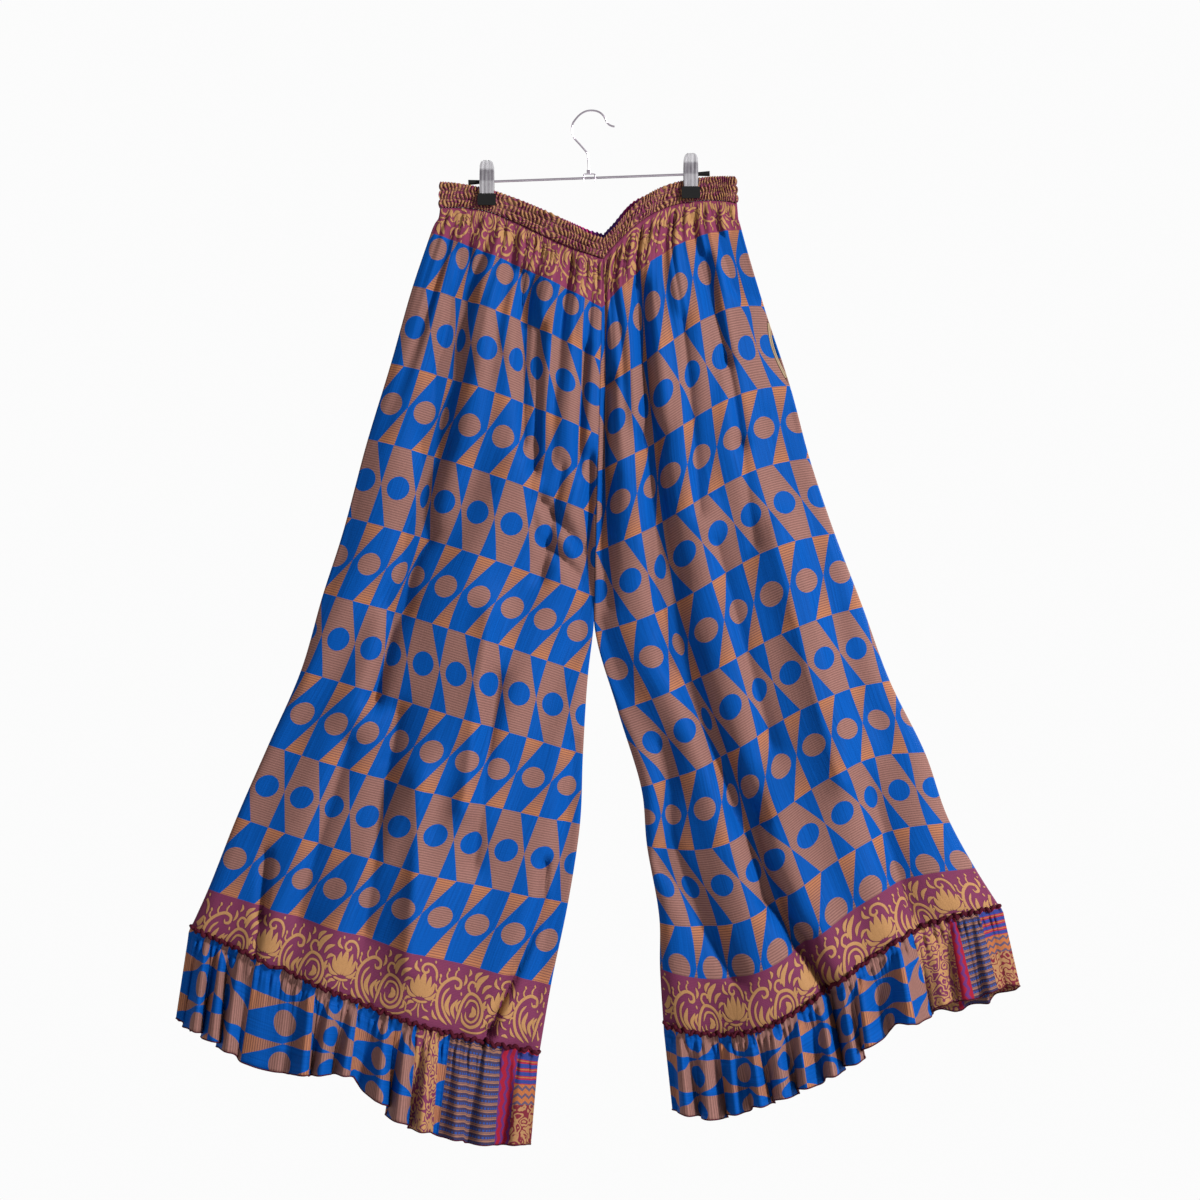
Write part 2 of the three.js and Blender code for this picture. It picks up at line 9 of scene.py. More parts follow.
import bpy
import numpy as np
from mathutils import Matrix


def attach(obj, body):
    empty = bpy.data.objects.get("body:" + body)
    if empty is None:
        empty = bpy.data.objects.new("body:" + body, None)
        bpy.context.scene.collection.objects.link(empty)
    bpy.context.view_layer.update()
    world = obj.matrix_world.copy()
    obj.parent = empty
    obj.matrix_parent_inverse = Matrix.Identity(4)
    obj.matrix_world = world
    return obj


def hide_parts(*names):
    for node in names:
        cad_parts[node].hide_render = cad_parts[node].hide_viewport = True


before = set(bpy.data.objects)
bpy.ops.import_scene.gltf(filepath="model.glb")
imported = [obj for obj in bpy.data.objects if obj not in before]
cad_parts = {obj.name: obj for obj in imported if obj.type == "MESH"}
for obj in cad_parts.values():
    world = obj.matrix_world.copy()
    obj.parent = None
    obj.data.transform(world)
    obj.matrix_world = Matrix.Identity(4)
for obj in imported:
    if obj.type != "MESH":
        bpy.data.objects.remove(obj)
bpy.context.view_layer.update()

# Cloth sizes
MM = 0.001
CLOTH = 1.0
RUFFLE_CLOTH = 1.2
HEADING_CLEARANCE = 0.7
PRINT_COLUMN = 45.0
PRINT_ROW = 95.6
CIRCLE_RADIUS = 14.0
WEFT_PITCH = 2.9
PLUM_WEFT_PITCH = 1.5
PANEL_TOP_CLEARANCE = 0.3

# Steps of the meshes
PANEL_COLUMNS = 104
PANEL_ROWS = 210
RUFFLE_COLUMNS = 420
RUFFLE_ROWS = 26
BAND_COLUMNS = 640
BAND_ROWS = 24
FACING_GRID = (13, 61)
BAG_GRID = (81, 41)
CORD_SIDES = 6
# A direction that no cord runs along
CORD_SIDE = (0.0, 1.0, 0.02)

# Centre seam, a straight line in the view from the back
CENTRE_TOP = (14.9, -178.2)
CROTCH = (4.0, -612.6)

# Rows of one leg from the waist down, each a line across the leg from the side seam to the inner seam.
# v counts rows of the print, bow and skew lift the line, leg and centre are half depths,
# flat is the share of the row held flat by the clip.
ROW_FIELDS = ("v", "side_x", "side_z", "inner_x", "inner_z", "bow", "skew", "leg", "centre", "flat")
LEFT_ROWS = [
    (-1.1, -179.5, -84.6, 11.3, -151.2, 10.4, 2.0, 0, 14, 0.34),
    (-0.7, -180.7, -115.8, 14.9, -178.2, 10.8, 5.4, 0, 14, 0.34),
    (0.31, -191.5, -145.8, 12.5, -237.0, 6.0, 0.0, 9, 17, 0.2),
    (1, -213.1, -209.4, 8.9, -300.6, 9.6, 0.0, 16, 21, 0.1),
    (2, -239.5, -302.4, 4.1, -389.4, 7.2, 0.0, 21, 23, 0),
    (3, -267.1, -393.0, 1.7, -484.8, 6.0, 0.0, 25, 17, 0),
    (4.32, -300.5, -516.3, 4.0, -612.6, 4.8, 0.0, 30, 0, 0),
    (5, -320.5, -577.8, -3.1, -676.2, 4.8, 0.0, 33, 0, 0),
    (6, -347.5, -670.9, -9.1, -771.0, 1.9, 0.0, 36, 0, 0),
    (7, -386.5, -760.0, -12.7, -855.0, -4.3, 0.0, 39, 0, 0),
    (8, -424.3, -846.4, -27.1, -949.8, -4.8, 0.0, 42, 0, 0),
    (9, -458.5, -932.8, -47.5, -1048.2, 0.0, 0.0, 45, 0, 0),
    (9.8, -481.9, -984.6, -63.1, -1139.4, -13.2, 3.6, 47, 0, 0),
]
RIGHT_ROWS = [
    (-1.3, 173.3, -78.6, 11.3, -151.2, 27.2, -3.0, 0, 14, 0.34),
    (-1, 175.7, -109.8, 14.9, -178.2, 30.0, -2.0, 0, 14, 0.34),
    (0, 181.2, -142.2, 12.5, -237.0, 24.0, 0.0, 9, 17, 0.2),
    (1, 208.1, -234.2, 7.7, -334.2, 16.4, 7.0, 16, 21, 0.1),
    (2, 239.3, -329.4, 2.9, -432.6, 12.0, 6.6, 21, 22, 0),
    (3, 262.7, -416.3, 6.5, -528.6, 9.0, 7.2, 25, 13, 0),
    (3.87, 288.7, -494.9, 4.0, -612.6, 4.8, 9.6, 29, 0, 0),
    (5, 326.4, -594.6, 32.9, -719.4, 5.3, 6.4, 33, 0, 0),
    (6, 358.9, -683.2, 60.5, -810.6, 6.0, 10.2, 36, 0, 0),
    (7, 401.0, -769.0, 67.7, -881.4, -6.0, 21.6, 39, 0, 0),
    (8, 431.3, -853.1, 82.9, -973.4, -7.8, 21.6, 42, 0, 0),
    (8.6, 461.3, -907.8, 83.3, -1028.4, -14.4, 25.8, 44, 0, 0),
    (9.2, 494.9, -960.6, 88.1, -1105.8, -18.0, 25.2, 46, 0, 0),
]

# Print columns across the leg at some rows of the print, at the side seam and at the inner seam
PRINT_FIELDS = ("v", "side", "inner")
LEFT_PRINT = [
    (0, -1.45, 6.2), (1.5, -1.43, 6.2), (2.5, -1.38, 6.3), (3.5, -1.24, 6.9), (4.5, -1.05, 7.5),
    (5.5, -0.81, 8.0), (6.5, -0.51, 8.5), (7.5, -0.43, 9.0), (9, -0.35, 9.6),
]
RIGHT_PRINT = [
    (0, -0.1, 6.7), (1.5, -0.1, 6.7), (2.5, -0.1, 6.9), (3.5, -0.1, 7.1), (4.5, -0.25, 7.3),
    (5.5, -0.62, 7.7), (6.5, -0.9, 8.0), (7.5, -1.15, 8.3), (9, -1.4, 8.7),
]

# Hidden share of the gathered cloth: away from folds, in folds, and the rows and passes that smooth it
HIDDEN_LEAST = 0.4
HIDDEN_IN_FOLD = 0.6
HIDDEN_ROWS = 160
HIDDEN_PASSES = 60
HIDDEN_S = np.linspace(0, 1, 400)

# Bottom edge of each ruffle: its two ends, and the lift of the edge over the straight line between them
RUFFLE_ENDS = {"left": (-497.5, -1087.8, -71.5, -1239.0), "right": (515.3, -1049.4, 98.0, -1197.5)}
RUFFLE_LIFT = {
    "left": (0, -11, -16, -3, 13, -17, -21, -15, 0),
    "right": (0, -9, 0, 13, -15, -23, -25, -26, 0),
}
# Waves of each ruffle as knots along it: share of its length, waves counted so far, and their height
WAVE_FIELDS = ("s", "count", "height")
RUFFLE_WAVES = {
    "left": [
        (0, 0, 0.5), (0.05, 0.9, 1.2), (0.16, 3.1, 1.1), (0.2, 3.6, 0.5), (0.31, 4.2, 0.35), (0.38, 5.3, 1.1),
        (0.5, 7.2, 0.9), (0.58, 8.1, 1.4), (0.7, 10.0, 0.9), (0.8, 11.2, 0.7),
        (0.9, 12.4, 0.5), (1, 13.5, 0.5),
    ],
    "right": [
        (0, 0, 0.5), (0.06, 0.6, 0.6), (0.15, 1.9, 0.6), (0.26, 3.4, 0.9), (0.31, 3.9, 1.5), (0.42, 4.8, 1.3),
        (0.55, 7.1, 1.1), (0.7, 9.2, 1.3), (0.8, 10.8, 0.9), (0.93, 12.6, 1.2), (1, 13.6, 0.6),
    ],
}
# Lift of the right ruffle's back edge over its front one, as knots along it
BACK_RAISE = ((0, 0), (0.04, 13), (0.1, 18), (0.21, 20), (0.27, 10), (0.31, 0), (1, 0))
RUFFLE_WAVE_HEIGHT = 13.0
RUFFLE_REACH = 73.5
RUFFLE_FLARE = 8.0
RUFFLE_FALL = 98.0
RUFFLE_PUFF = 4.2
RUFFLE_SWAY = 5.0
RUFFLE_EDGE_SWAY = 1.6
# Share of a ruffle's length and of its fall over which back and front close at a side
RUFFLE_CLOSING = (0.02, 0.12)
# Pinches along a ruffle: size, count, drift and how fast they drift
PINCHES = ((1.0, 43, 1.5, 9), (0.6, 71, 0.8, 17))
PINCH_DEPTH = 3.4
HEADING_HEIGHT = 7.0
HEADING_STEPS = (1.0, 0.66, 0.33)
HEADING_LEAN = 3.2
HEADING_FRILL = 2.2
# Waves of the heading's upper edge: height, waves to one of the ruffle's, and start
HEADING_WAVES = ((1.7, 2.3, 0.0), (1.5, 5.1, 1.0))
# Patches of a ruffle: share of the length at both ends, and the place in the list of cloths
RUFFLE_PATCHES = {
    "left": ((0.657, 0.72, 1), (0.75, 0.895, 2), (0.895, 0.94, 3), (0.94, 1.01, 4)),
    "right": ((-0.01, 0.075, 4), (0.075, 0.145, 2), (0.145, 0.165, 3), (0.165, 0.27, 1)),
}
# Overlocked edges of a ruffle: name, row of the grid and radius of the cord
OVERLOCKS = (("heading", 0, 2.3), ("bottom", -1, 1.0))

# Creases below the elastic: share, creases to a print column, sway, its rate and start, and narrowness
FINE_CREASES = ((0.6, 2.1, 0.35, 1.7, 0.6, 2.5), (0.4, 3.3, 0.4, 2.3, 0.0, 3.0))
# Depths of the gathers and how many rows of the print they reach
GATHERS = SimpleNamespace(
    fine=13.0, fine_lift=4.6, fine_reach=0.9,
    middle=9.0, middle_lift=3.0, middle_row=1.5, middle_reach=2.6,
    slow=4.5, slow_reach=4.0,
)

# Folds as lines on the panel with the half width and the depth of the valley, less than zero for a ridge
BACK_FOLDS = {
    "left": [
        (-150, -176, -154, -230, 9, 8), (-154, -230, -165, -311, 12, 11),
        (-165, -311, -185, -399, 14, 12), (-185, -399, -203, -505, 14, 12),
        (-203, -505, -231, -590, 13, 12), (-231, -590, -258, -706, 12, 9),
        (-82, -196, -80, -400, 10, 7), (-60, -262, -67, -430, 7, 6), (-7, -286, -13, -430, 7, 4),
        (-120, -600, -150, -830, 20, -7), (-16, -760, -55, -1078, 9, 6),
        (-290, -760, -350, -960, 18, 6), (-200, -800, -215, -1020, 20, -7),
        (-60, -466, -8, -526, 6, 4), (-50, -520, -10, -560, 6, 4), (-33, -430, -60, -560, 8, 4),
        (-110, -680, -140, -900, 12, 5), (-230, -720, -270, -980, 14, 5), (2, -420, -3, -600, 10, 6),
        (-53, -900, -58, -960, 5, 6), (-58, -960, -121, -1102, 5, 8),
        (-121, -1102, -129, -1118, 5, 7), (-387, -890, -393, -965, 5, 6),
        (-393, -965, -398, -1005, 5, 3),
    ],
    "right": [
        (60, -214, 72, -394, 11, 10), (72, -394, 90, -560, 13, 13), (90, -560, 108, -655, 13, 14),
        (108, -655, 184, -836, 13, 15), (184, -836, 216, -939, 12, 15), (216, -939, 250, -993, 9, 14),
        (250, -993, 284, -1053, 9, 13), (138, -178, 165, -300, 6, 6), (165, -300, 180, -400, 8, 4),
        (180, -400, 196, -520, 10, 2.5), (163, -157, 179, -207, 7, 6), (179, -207, 194, -250, 7, 8),
        (194, -250, 215, -334, 7, 7), (24, -440, 20, -590, 8, 4), (17, -214, 23, -322, 7, 4),
        (23, -322, 11, -538, 8, 5), (88, -761, 94, -899, 11, 5), (94, -899, 173, -1036, 13, 7),
        (230, -500, 300, -800, 20, -7), (330, -800, 380, -960, 20, 6), (110, -250, 130, -480, 10, 4),
        (150, -520, 215, -760, 14, 5), (190, -836, 206, -850, 5, 5),
    ],
}
# Short cross creases of a worn garment, shallower than the folds
CREASES = {
    "left": [
        (-247, -778, -170, -760, 4, 1.6), (-205, -826, -140, -790, 4, 1.6),
        (-350, -862, -300, -826, 5, 1.4), (-55, -466, -20, -500, 4, 2.2),
        (-48, -500, -10, -508, 4, 2.0), (-70, -540, -30, -520, 4, 1.8),
        (-180, -470, -120, -456, 5, 1.5), (-260, -560, -215, -520, 5, 1.4),
        (-120, -240, -105, -300, 4, 1.8), (-64, -240, -72, -364, 4, 2.6),
        (-72, -364, -71, -470, 4, 2.4), (-71, -470, -62, -523, 4, 2.4),
        (-46, -279, -43, -350, 3.5, 2.6), (-240, -300, -246, -330, 4, 1.6),
    ],
    "right": [
        (160, -470, 220, -440, 5, 1.4), (240, -620, 300, -600, 5, 1.5),
        (330, -790, 372, -760, 5, 1.4), (40, -520, 80, -500, 4, 1.8), (60, -640, 100, -600, 5, 1.6),
        (190, -838, 214, -866, 4, 2.6), (120, -830, 165, -800, 5, 1.4),
        (100, -330, 140, -300, 4, 1.4),
    ],
}
FRONT_FOLDS = {
    "left": [
        (-140, -170, -160, -420, 9, 7), (-160, -420, -225, -720, 12, 9), (-80, -220, -95, -470, 9, 6),
        (-20, -260, -30, -500, 9, 5), (-110, -640, -160, -960, 16, 8),
        (-280, -740, -340, -960, 20, -7),
    ],
    "right": [
        (60, -210, 75, -460, 9, 7), (75, -460, 130, -720, 12, 9), (130, -720, 230, -1020, 15, 9),
        (140, -170, 180, -400, 9, 6), (20, -260, 25, -500, 9, 5), (260, -560, 330, -860, 20, -7),
    ],
}
FOLD_GAIN = 2.9
FOLD_SHAPE = 1.3
FRONT_CREASE_SHIFT = 25.0

# Elastic band: lifts of its upper edge with their places and spreads in shares of a half, and its puckers
BAND = SimpleNamespace(
    front_rise=8.5, front_from=0.6, right_rise=4.5, right_at=0.8, right_spread=0.12,
    point_rise=3.5, point_spread=0.06, dip=6.5, dip_spread=0.2,
    channels=3, puckers=45, side_bulge=2.2, wall=2.6, swell=0.2, ridge=3.8,
    inner_ridge=3.5, frill=1.6,
)
# Pucker, counted from the left, at the middle of the violet part of the band's inside
DIP_MIDDLE = 47.5

# Pocket in the right side seam
POCKET = SimpleNamespace(top=-244.0, bottom=-332.0, gape=8.0, flat_s=0.3, flat_fade=0.12, flat_reach=30.0)
FACING = SimpleNamespace(
    below_top=10.0, above_bottom=12.0, shows=3.8, set_in=0.2,
    front=0.7, bulge=0.5, waver=0.2,
)
BAG = SimpleNamespace(
    outer=14.0, inner=112.0, top=-250.0, bottom=-425.0, drift=-60.0,
    mouth=2.6, half=1.3, narrows=90.0, wave=0.5, wave_length=9.0, row=1.1, rows=0.9,
)

# Figures of the patches: pitches in millimetres, and shares of the ruffle's print columns where a figure ends
DASH_ROW = 8.0
DASH_STEP = 4.0
STRIPE_PITCH = 9.0
RED_ZIGZAG = SimpleNamespace(step=14.0, swing=7.0, pitch=10.0, ground=0.6)
ORANGE_ZIGZAG = SimpleNamespace(step=11.0, swing=8.0, pitch=9.0, ground=0.62)
MIXED_ENDS = (0.62, 1.15)
# Ridges of the clips' plastic, in metres
RIDGE_PITCH = 0.0045

# Colours, linear
BLUE = (0.0015, 0.063, 0.295)
BROWN = (0.195, 0.095, 0.081)
ORANGE = (0.36, 0.137, 0.056)
DARK_THREAD = (0.05, 0.02, 0.03)
PLUM = (0.127, 0.026, 0.063)
WAIST_PLUM = (0.155, 0.029, 0.066)
GOLD = (0.315, 0.165, 0.07)
MAROON = (0.05, 0.006, 0.013)
CREAM = (0.3, 0.22, 0.14)
# Painted shade in the creases and channel seams of the band's outside
BAND_CREASE_SHADE = (0.06, 0.012, 0.03)
INSIDE_RED = (0.5, 0.02, 0.06)
INSIDE_FIGURE = (0.24, 0.03, 0.2)
# Painted shade in the creases and channel seams of the band's inside
INSIDE_CREASE_SHADE = (0.08, 0.008, 0.05)
INSIDE_VIOLET = (0.15, 0.06, 0.38)
NAVY = (0.035, 0.03, 0.07)
DASH_ORANGE = (0.25, 0.12, 0.075)
DASH_BLUE = (0.015, 0.06, 0.25)
ZIGZAG_RED = (0.26, 0.008, 0.025)
ZIGZAG_PURPLE = (0.1, 0.02, 0.12)
ZIGZAG_GREY = (0.08, 0.06, 0.1)
STRIPE_RED = (0.28, 0.015, 0.035)
STRIPE_BLUE = (0.02, 0.04, 0.2)
STRIPE_ORANGE = (0.32, 0.11, 0.035)
ZIGZAG_ORANGE = (0.34, 0.11, 0.035)
DARK_RED = (0.14, 0.015, 0.025)
CHROME = (0.56, 0.5, 0.57)
RUBBER = (0.008, 0.008, 0.008)
# Ends of the clips' plastic colour: dark plastic and painted shade, pale plastic and painted highlights
PLASTIC_DARK_AND_SHADED = (0.12, 0.105, 0.125)
PLASTIC_PALE_AND_LIT = (0.56, 0.55, 0.57)
FLOOR_GREY = (0.66, 0.66, 0.66)

LEGS = {}
for leg_name, table, print_table, out_side in (
    ("left", LEFT_ROWS, LEFT_PRINT, -1),
    ("right", RIGHT_ROWS, RIGHT_PRINT, 1),
):
    leg = dict(zip(ROW_FIELDS, np.array(table, dtype=float).T))
    leg["print"] = dict(zip(PRINT_FIELDS, np.array(print_table, dtype=float).T))
    leg["out"] = out_side
    LEGS[leg_name] = leg
# Rows of the print where the panel starts and where the main print, the crotch and the border lie
LEGS["left"].update(top=-0.7, main_top=0.31, crotch=4.32, main_bottom=9.0, hem=9.8)
LEGS["right"].update(top=-1.0, main_top=0.0, crotch=3.87, main_bottom=8.6, hem=9.2)


def ease(value):
    held = np.clip(value, 0, 1)
    return held * held * (3 - 2 * held)


def hump(away, spread):
    """One in the middle, falling off over the spread."""
    return np.exp(-((away / spread) ** 2))


def through(knots, values, at):
    """Smooth curve through the values of a table column."""
    slopes = np.gradient(values, knots)
    i = np.clip(np.searchsorted(knots, at, side="right") - 1, 0, len(knots) - 2)
    width = knots[i + 1] - knots[i]
    t = (at - knots[i]) / width
    start = 2 * t**3 - 3 * t**2 + 1
    leave = t**3 - 2 * t**2 + t
    arrive = t**3 - t**2
    places = start * values[i] + (1 - start) * values[i + 1]
    return places + (leave * slopes[i] + arrive * slopes[i + 1]) * width


def centre_x(z):
    share = (z - CENTRE_TOP[1]) / (CROTCH[1] - CENTRE_TOP[1])
    return CENTRE_TOP[0] + (CROTCH[0] - CENTRE_TOP[0]) * share


def base_point(leg, s, v):
    """x, height and half depth of a point of the leg without folds."""
    row = {field: through(leg["v"], leg[field], v) for field in ROW_FIELDS[1:]}
    inner_x = np.where(v <= leg["crotch"], centre_x(row["inner_z"]), row["inner_x"])
    x = row["side_x"] + (inner_x - row["side_x"]) * s
    z = row["side_z"] + (row["inner_z"] - row["side_z"]) * s
    z = z + row["bow"] * 4 * s * (1 - s) + row["skew"] * np.sin(2 * np.pi * s)
    to_centre = ease((s - row["flat"]) / (1 - row["flat"]))
    depth = row["centre"] * to_centre + row["leg"] * np.sin(np.pi * np.clip(s, 0, 1)) ** 0.8
    return x, z, np.maximum(depth, 0)


def away_from(line, x, z):
    """Distance of each point from a fold's line."""
    x1, z1, x2, z2 = line
    dx, dz = x2 - x1, z2 - z1
    along = np.clip(((x - x1) * dx + (z - z1) * dz) / (dx * dx + dz * dz), 0, 1)
    return np.hypot(x - x1 - along * dx, z - z1 - along * dz)


def hidden_cloth(leg, folds):
    """Share of the gathered cloth that is hidden up to each place of a leg, most of it in the folds."""
    s, v = np.meshgrid(HIDDEN_S, np.linspace(leg["top"], leg["hem"], HIDDEN_ROWS))
    x, z, _ = base_point(leg, s, v)
    density = np.full_like(x, HIDDEN_LEAST)
    for *line, width, deep in folds:
        density += HIDDEN_IN_FOLD * max(deep, 0) * hump(away_from(line, x, z), 0.5 * width)
    steps = np.cumsum((density[:, 1:] + density[:, :-1]) / 2, axis=1)
    share = np.concatenate([np.zeros((len(x), 1)), steps], axis=1) / steps[:, -1:]
    for _ in range(HIDDEN_PASSES):
        share[1:-1] = (share[:-2] + 2 * share[1:-1] + share[2:]) / 4
        share[0] = share[1]
        share[-1] = share[-2]
    return share


for leg_name, leg in LEGS.items():
    leg["hidden"] = hidden_cloth(leg, BACK_FOLDS[leg_name])


def grid_value(grid, i, j):
    """Value of a grid between its points."""
    low_i = np.minimum(i.astype(int), grid.shape[0] - 2)
    low_j = np.minimum(j.astype(int), grid.shape[1] - 2)
    a, b = i - low_i, j - low_j
    upper = grid[low_i, low_j] * (1 - b) + grid[low_i, low_j + 1] * b
    lower = grid[low_i + 1, low_j] * (1 - b) + grid[low_i + 1, low_j + 1] * b
    return upper * (1 - a) + lower * a


def print_column(leg, s, v):
    """Print columns from the side seam, as the eye counts them along the row."""
    table = leg["print"]
    at = np.clip(v, table["v"][0], table["v"][-1])
    side, inner = (np.interp(at, table["v"], table[field]) for field in PRINT_FIELDS[1:])
    x_side, _, _ = base_point(leg, np.zeros_like(s), v)
    x_inner, _, _ = base_point(leg, np.ones_like(s), v)
    flat = np.minimum(np.abs(x_inner - x_side) / PRINT_COLUMN, inner - side)
    rows, columns = leg["hidden"].shape
    i = np.clip((v - leg["top"]) / (leg["hem"] - leg["top"]), 0, 1) * (rows - 1)
    j = np.clip(s, 0, 1) * (columns - 1)
    return side + flat * s + (inner - side - flat) * grid_value(leg["hidden"], i, j)


def fold_depth(folds, x, z):
    total = np.zeros_like(x)
    for *line, width, depth in folds:
        total += depth * np.exp(-((away_from(line, x, z) / width) ** FOLD_SHAPE))
    return total


def crease(turns, narrow):
    """One at the bottom of each narrow crease, close to zero on the round ridges between them."""
    return (0.5 + 0.5 * np.sin(2 * np.pi * turns)) ** narrow


def gathers(leg, face, s, v):
    """Creases that fan out below the elastic, and slow waves further down."""
    u = print_column(leg, s, v) + (0.3 if face > 0 else 0)
    below = v - leg["top"]
    fine = 0
    for share, count, sway, rate, start, narrow in FINE_CREASES:
        fine = fine + share * crease(count * u + sway * np.sin(rate * u + start), narrow)
    middle = crease(0.95 * u + 0.3 * np.sin(0.9 * u + 0.5 * v), 2.2)
    slow = np.sin(2 * np.pi * (0.47 * u + 0.12 * np.sin(1.1 * v + u)))
    near = (GATHERS.fine * fine - GATHERS.fine_lift) * np.exp(-below / GATHERS.fine_reach)
    far = np.exp(-((below - GATHERS.middle_row) ** 2) / GATHERS.middle_reach)
    near = near + (GATHERS.middle * middle - GATHERS.middle_lift) * far
    return ease(below / 0.1) * (near + GATHERS.slow * slow * ease(below / GATHERS.slow_reach))


def pocket_gape(z):
    share = np.clip((z - POCKET.top) / (POCKET.bottom - POCKET.top), 0, 1)
    return POCKET.gape * np.sin(np.pi * share)


def pocket_flat(s, z):
    """One where the cloth lies flat round the pocket mouth."""
    below = ease((z - POCKET.bottom) / POCKET.flat_reach + 1.3)
    above = ease((POCKET.top - z) / POCKET.flat_reach + 1.3)
    return ease((POCKET.flat_s - s) / POCKET.flat_fade) * below * above


def panel_point(leg_name, face, s, v):
    """Middle of the cloth of a panel, face minus one at the back and one at the front."""
    leg = LEGS[leg_name]
    x, z, depth = base_point(leg, s, v)
    folds = (BACK_FOLDS if face < 0 else FRONT_FOLDS)[leg_name]
    opened = ease((v - leg["top"]) / 0.3)
    off_seam = ease(np.minimum(s, 1 - s) / 0.035)
    if leg_name == "right":
        off_seam = off_seam * (1 - pocket_flat(s, z))
    creased = fold_depth(CREASES[leg_name], x + (0 if face < 0 else FRONT_CREASE_SHIFT), z)
    moved = (FOLD_GAIN * fold_depth(folds, x, z) + gathers(leg, face, s, v) + creased) * opened * off_seam
    depth = depth - np.clip(moved, -0.4 * depth - 5.0, 0.85 * depth)
    if leg_name == "right" and face < 0:
        x = x - pocket_gape(z) * (1 - s) ** 6
    return np.stack([x, face * (depth + CLOTH / 2), z], axis=-1)


def surface_normals(points, face):
    """Normals of a grid of points at length one, all to the face's side."""
    return turned_out(np.cross(np.gradient(points, axis=1), np.gradient(points, axis=0)), face)


def turned_out(normals, face):
    normals = normals / (np.linalg.norm(normals, axis=-1, keepdims=True) + 1e-9)
    return normals * np.where(normals[..., 1:2] * face < 0, -1, 1)


def grid_normals(points, face):
    """Normals of a cloth's grid, straight out at its two side edges."""
    normals = surface_normals(points, face)
    normals[:, [0, -1]] = (0, face, 0)
    return normals


def build_mesh(name, points, quads, materials, uv=None, face_materials=None):
    mesh = bpy.data.meshes.new(name)
    mesh.from_pydata((points * MM).tolist(), [], quads.tolist())
    if uv is not None:
        layer = mesh.uv_layers.new(name="cloth")
        corner = np.empty(len(mesh.loops), dtype=np.int32)
        mesh.loops.foreach_get("vertex_index", corner)
        layer.data.foreach_set("uv", uv[corner].ravel())
    mesh.polygons.foreach_set("use_smooth", np.full(len(mesh.polygons), True))
    for material in materials:
        mesh.materials.append(material)
    if face_materials is not None:
        mesh.polygons.foreach_set("material_index", face_materials)
    mesh.validate()
    obj = bpy.data.objects.new(name, mesh)
    bpy.context.scene.collection.objects.link(obj)
    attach(obj, "root")
    return obj


def grid_quads(rows, columns, start, flip):
    i, j = np.meshgrid(np.arange(rows - 1), np.arange(columns - 1), indexing="ij")
    a = start + i * columns + j
    quads = np.stack([a, a + columns, a + columns + 1, a + 1], axis=-1).reshape(-1, 4)
    return quads[:, ::-1] if flip else quads


def wall(name, outer, inner, uv, face, materials, column_materials=None, inner_material=0):
    """Closed cloth wall between two grids of points, with a UV point for each place of the grid."""
    rows, columns = outer.shape[:2]
    count = rows * columns
    points = np.concatenate([outer.reshape(-1, 3), inner.reshape(-1, 3)])
    turned = np.cross(outer[0, 1] - outer[0, 0], outer[1, 0] - outer[0, 0])[1] * face > 0
    place = np.arange(count).reshape(rows, columns)
    ring = np.concatenate([place[0, :-1], place[:-1, -1], place[-1, :0:-1], place[:0:-1, 0]])
    after = np.roll(ring, -1)
    edge = np.stack([ring, after, after + count, ring + count], axis=-1)
    quads = [grid_quads(rows, columns, 0, turned), grid_quads(rows, columns, count, not turned)]
    quads.append(edge[:, ::-1] if turned else edge)
    if column_materials is None:
        column_materials = np.zeros(columns - 1, dtype=int)
    grid = np.tile(column_materials, rows - 1)
    faces = np.concatenate([grid, grid + inner_material, np.zeros(len(edge), dtype=int)]).astype(np.int32)
    corners = np.concatenate([uv.reshape(-1, 2)] * 2)
    return build_mesh(name, points, np.concatenate(quads), materials, corners, faces)


def cloth_wall(name, middle, normals, thickness, uv, face, materials, column_materials=None):
    """Closed wall of even thickness round the middle of a cloth."""
    half = normals * thickness / 2
    return wall(name, middle + half, middle - half, uv, face, materials, column_materials)


def tube(name, points, radius, material):
    """Round cord along a line of points."""
    along = np.gradient(points, axis=0)
    along /= np.linalg.norm(along, axis=1, keepdims=True) + 1e-9
    across = np.cross(along, CORD_SIDE)
    across /= np.linalg.norm(across, axis=1, keepdims=True) + 1e-9
    up = np.cross(along, across)
    turn = np.linspace(0, 2 * np.pi, CORD_SIDES, endpoint=False)[:, None]
    rings = points[:, None] + radius * (across[:, None] * np.cos(turn) + up[:, None] * np.sin(turn))
    i, j = np.meshgrid(np.arange(len(points) - 1), np.arange(CORD_SIDES), indexing="ij")
    a = i * CORD_SIDES + j
    b = i * CORD_SIDES + (j + 1) % CORD_SIDES
    quads = np.stack([a, b, b + CORD_SIDES, a + CORD_SIDES], axis=-1).reshape(-1, 4)
    return build_mesh(name, rings.reshape(-1, 3), quads, (material,))


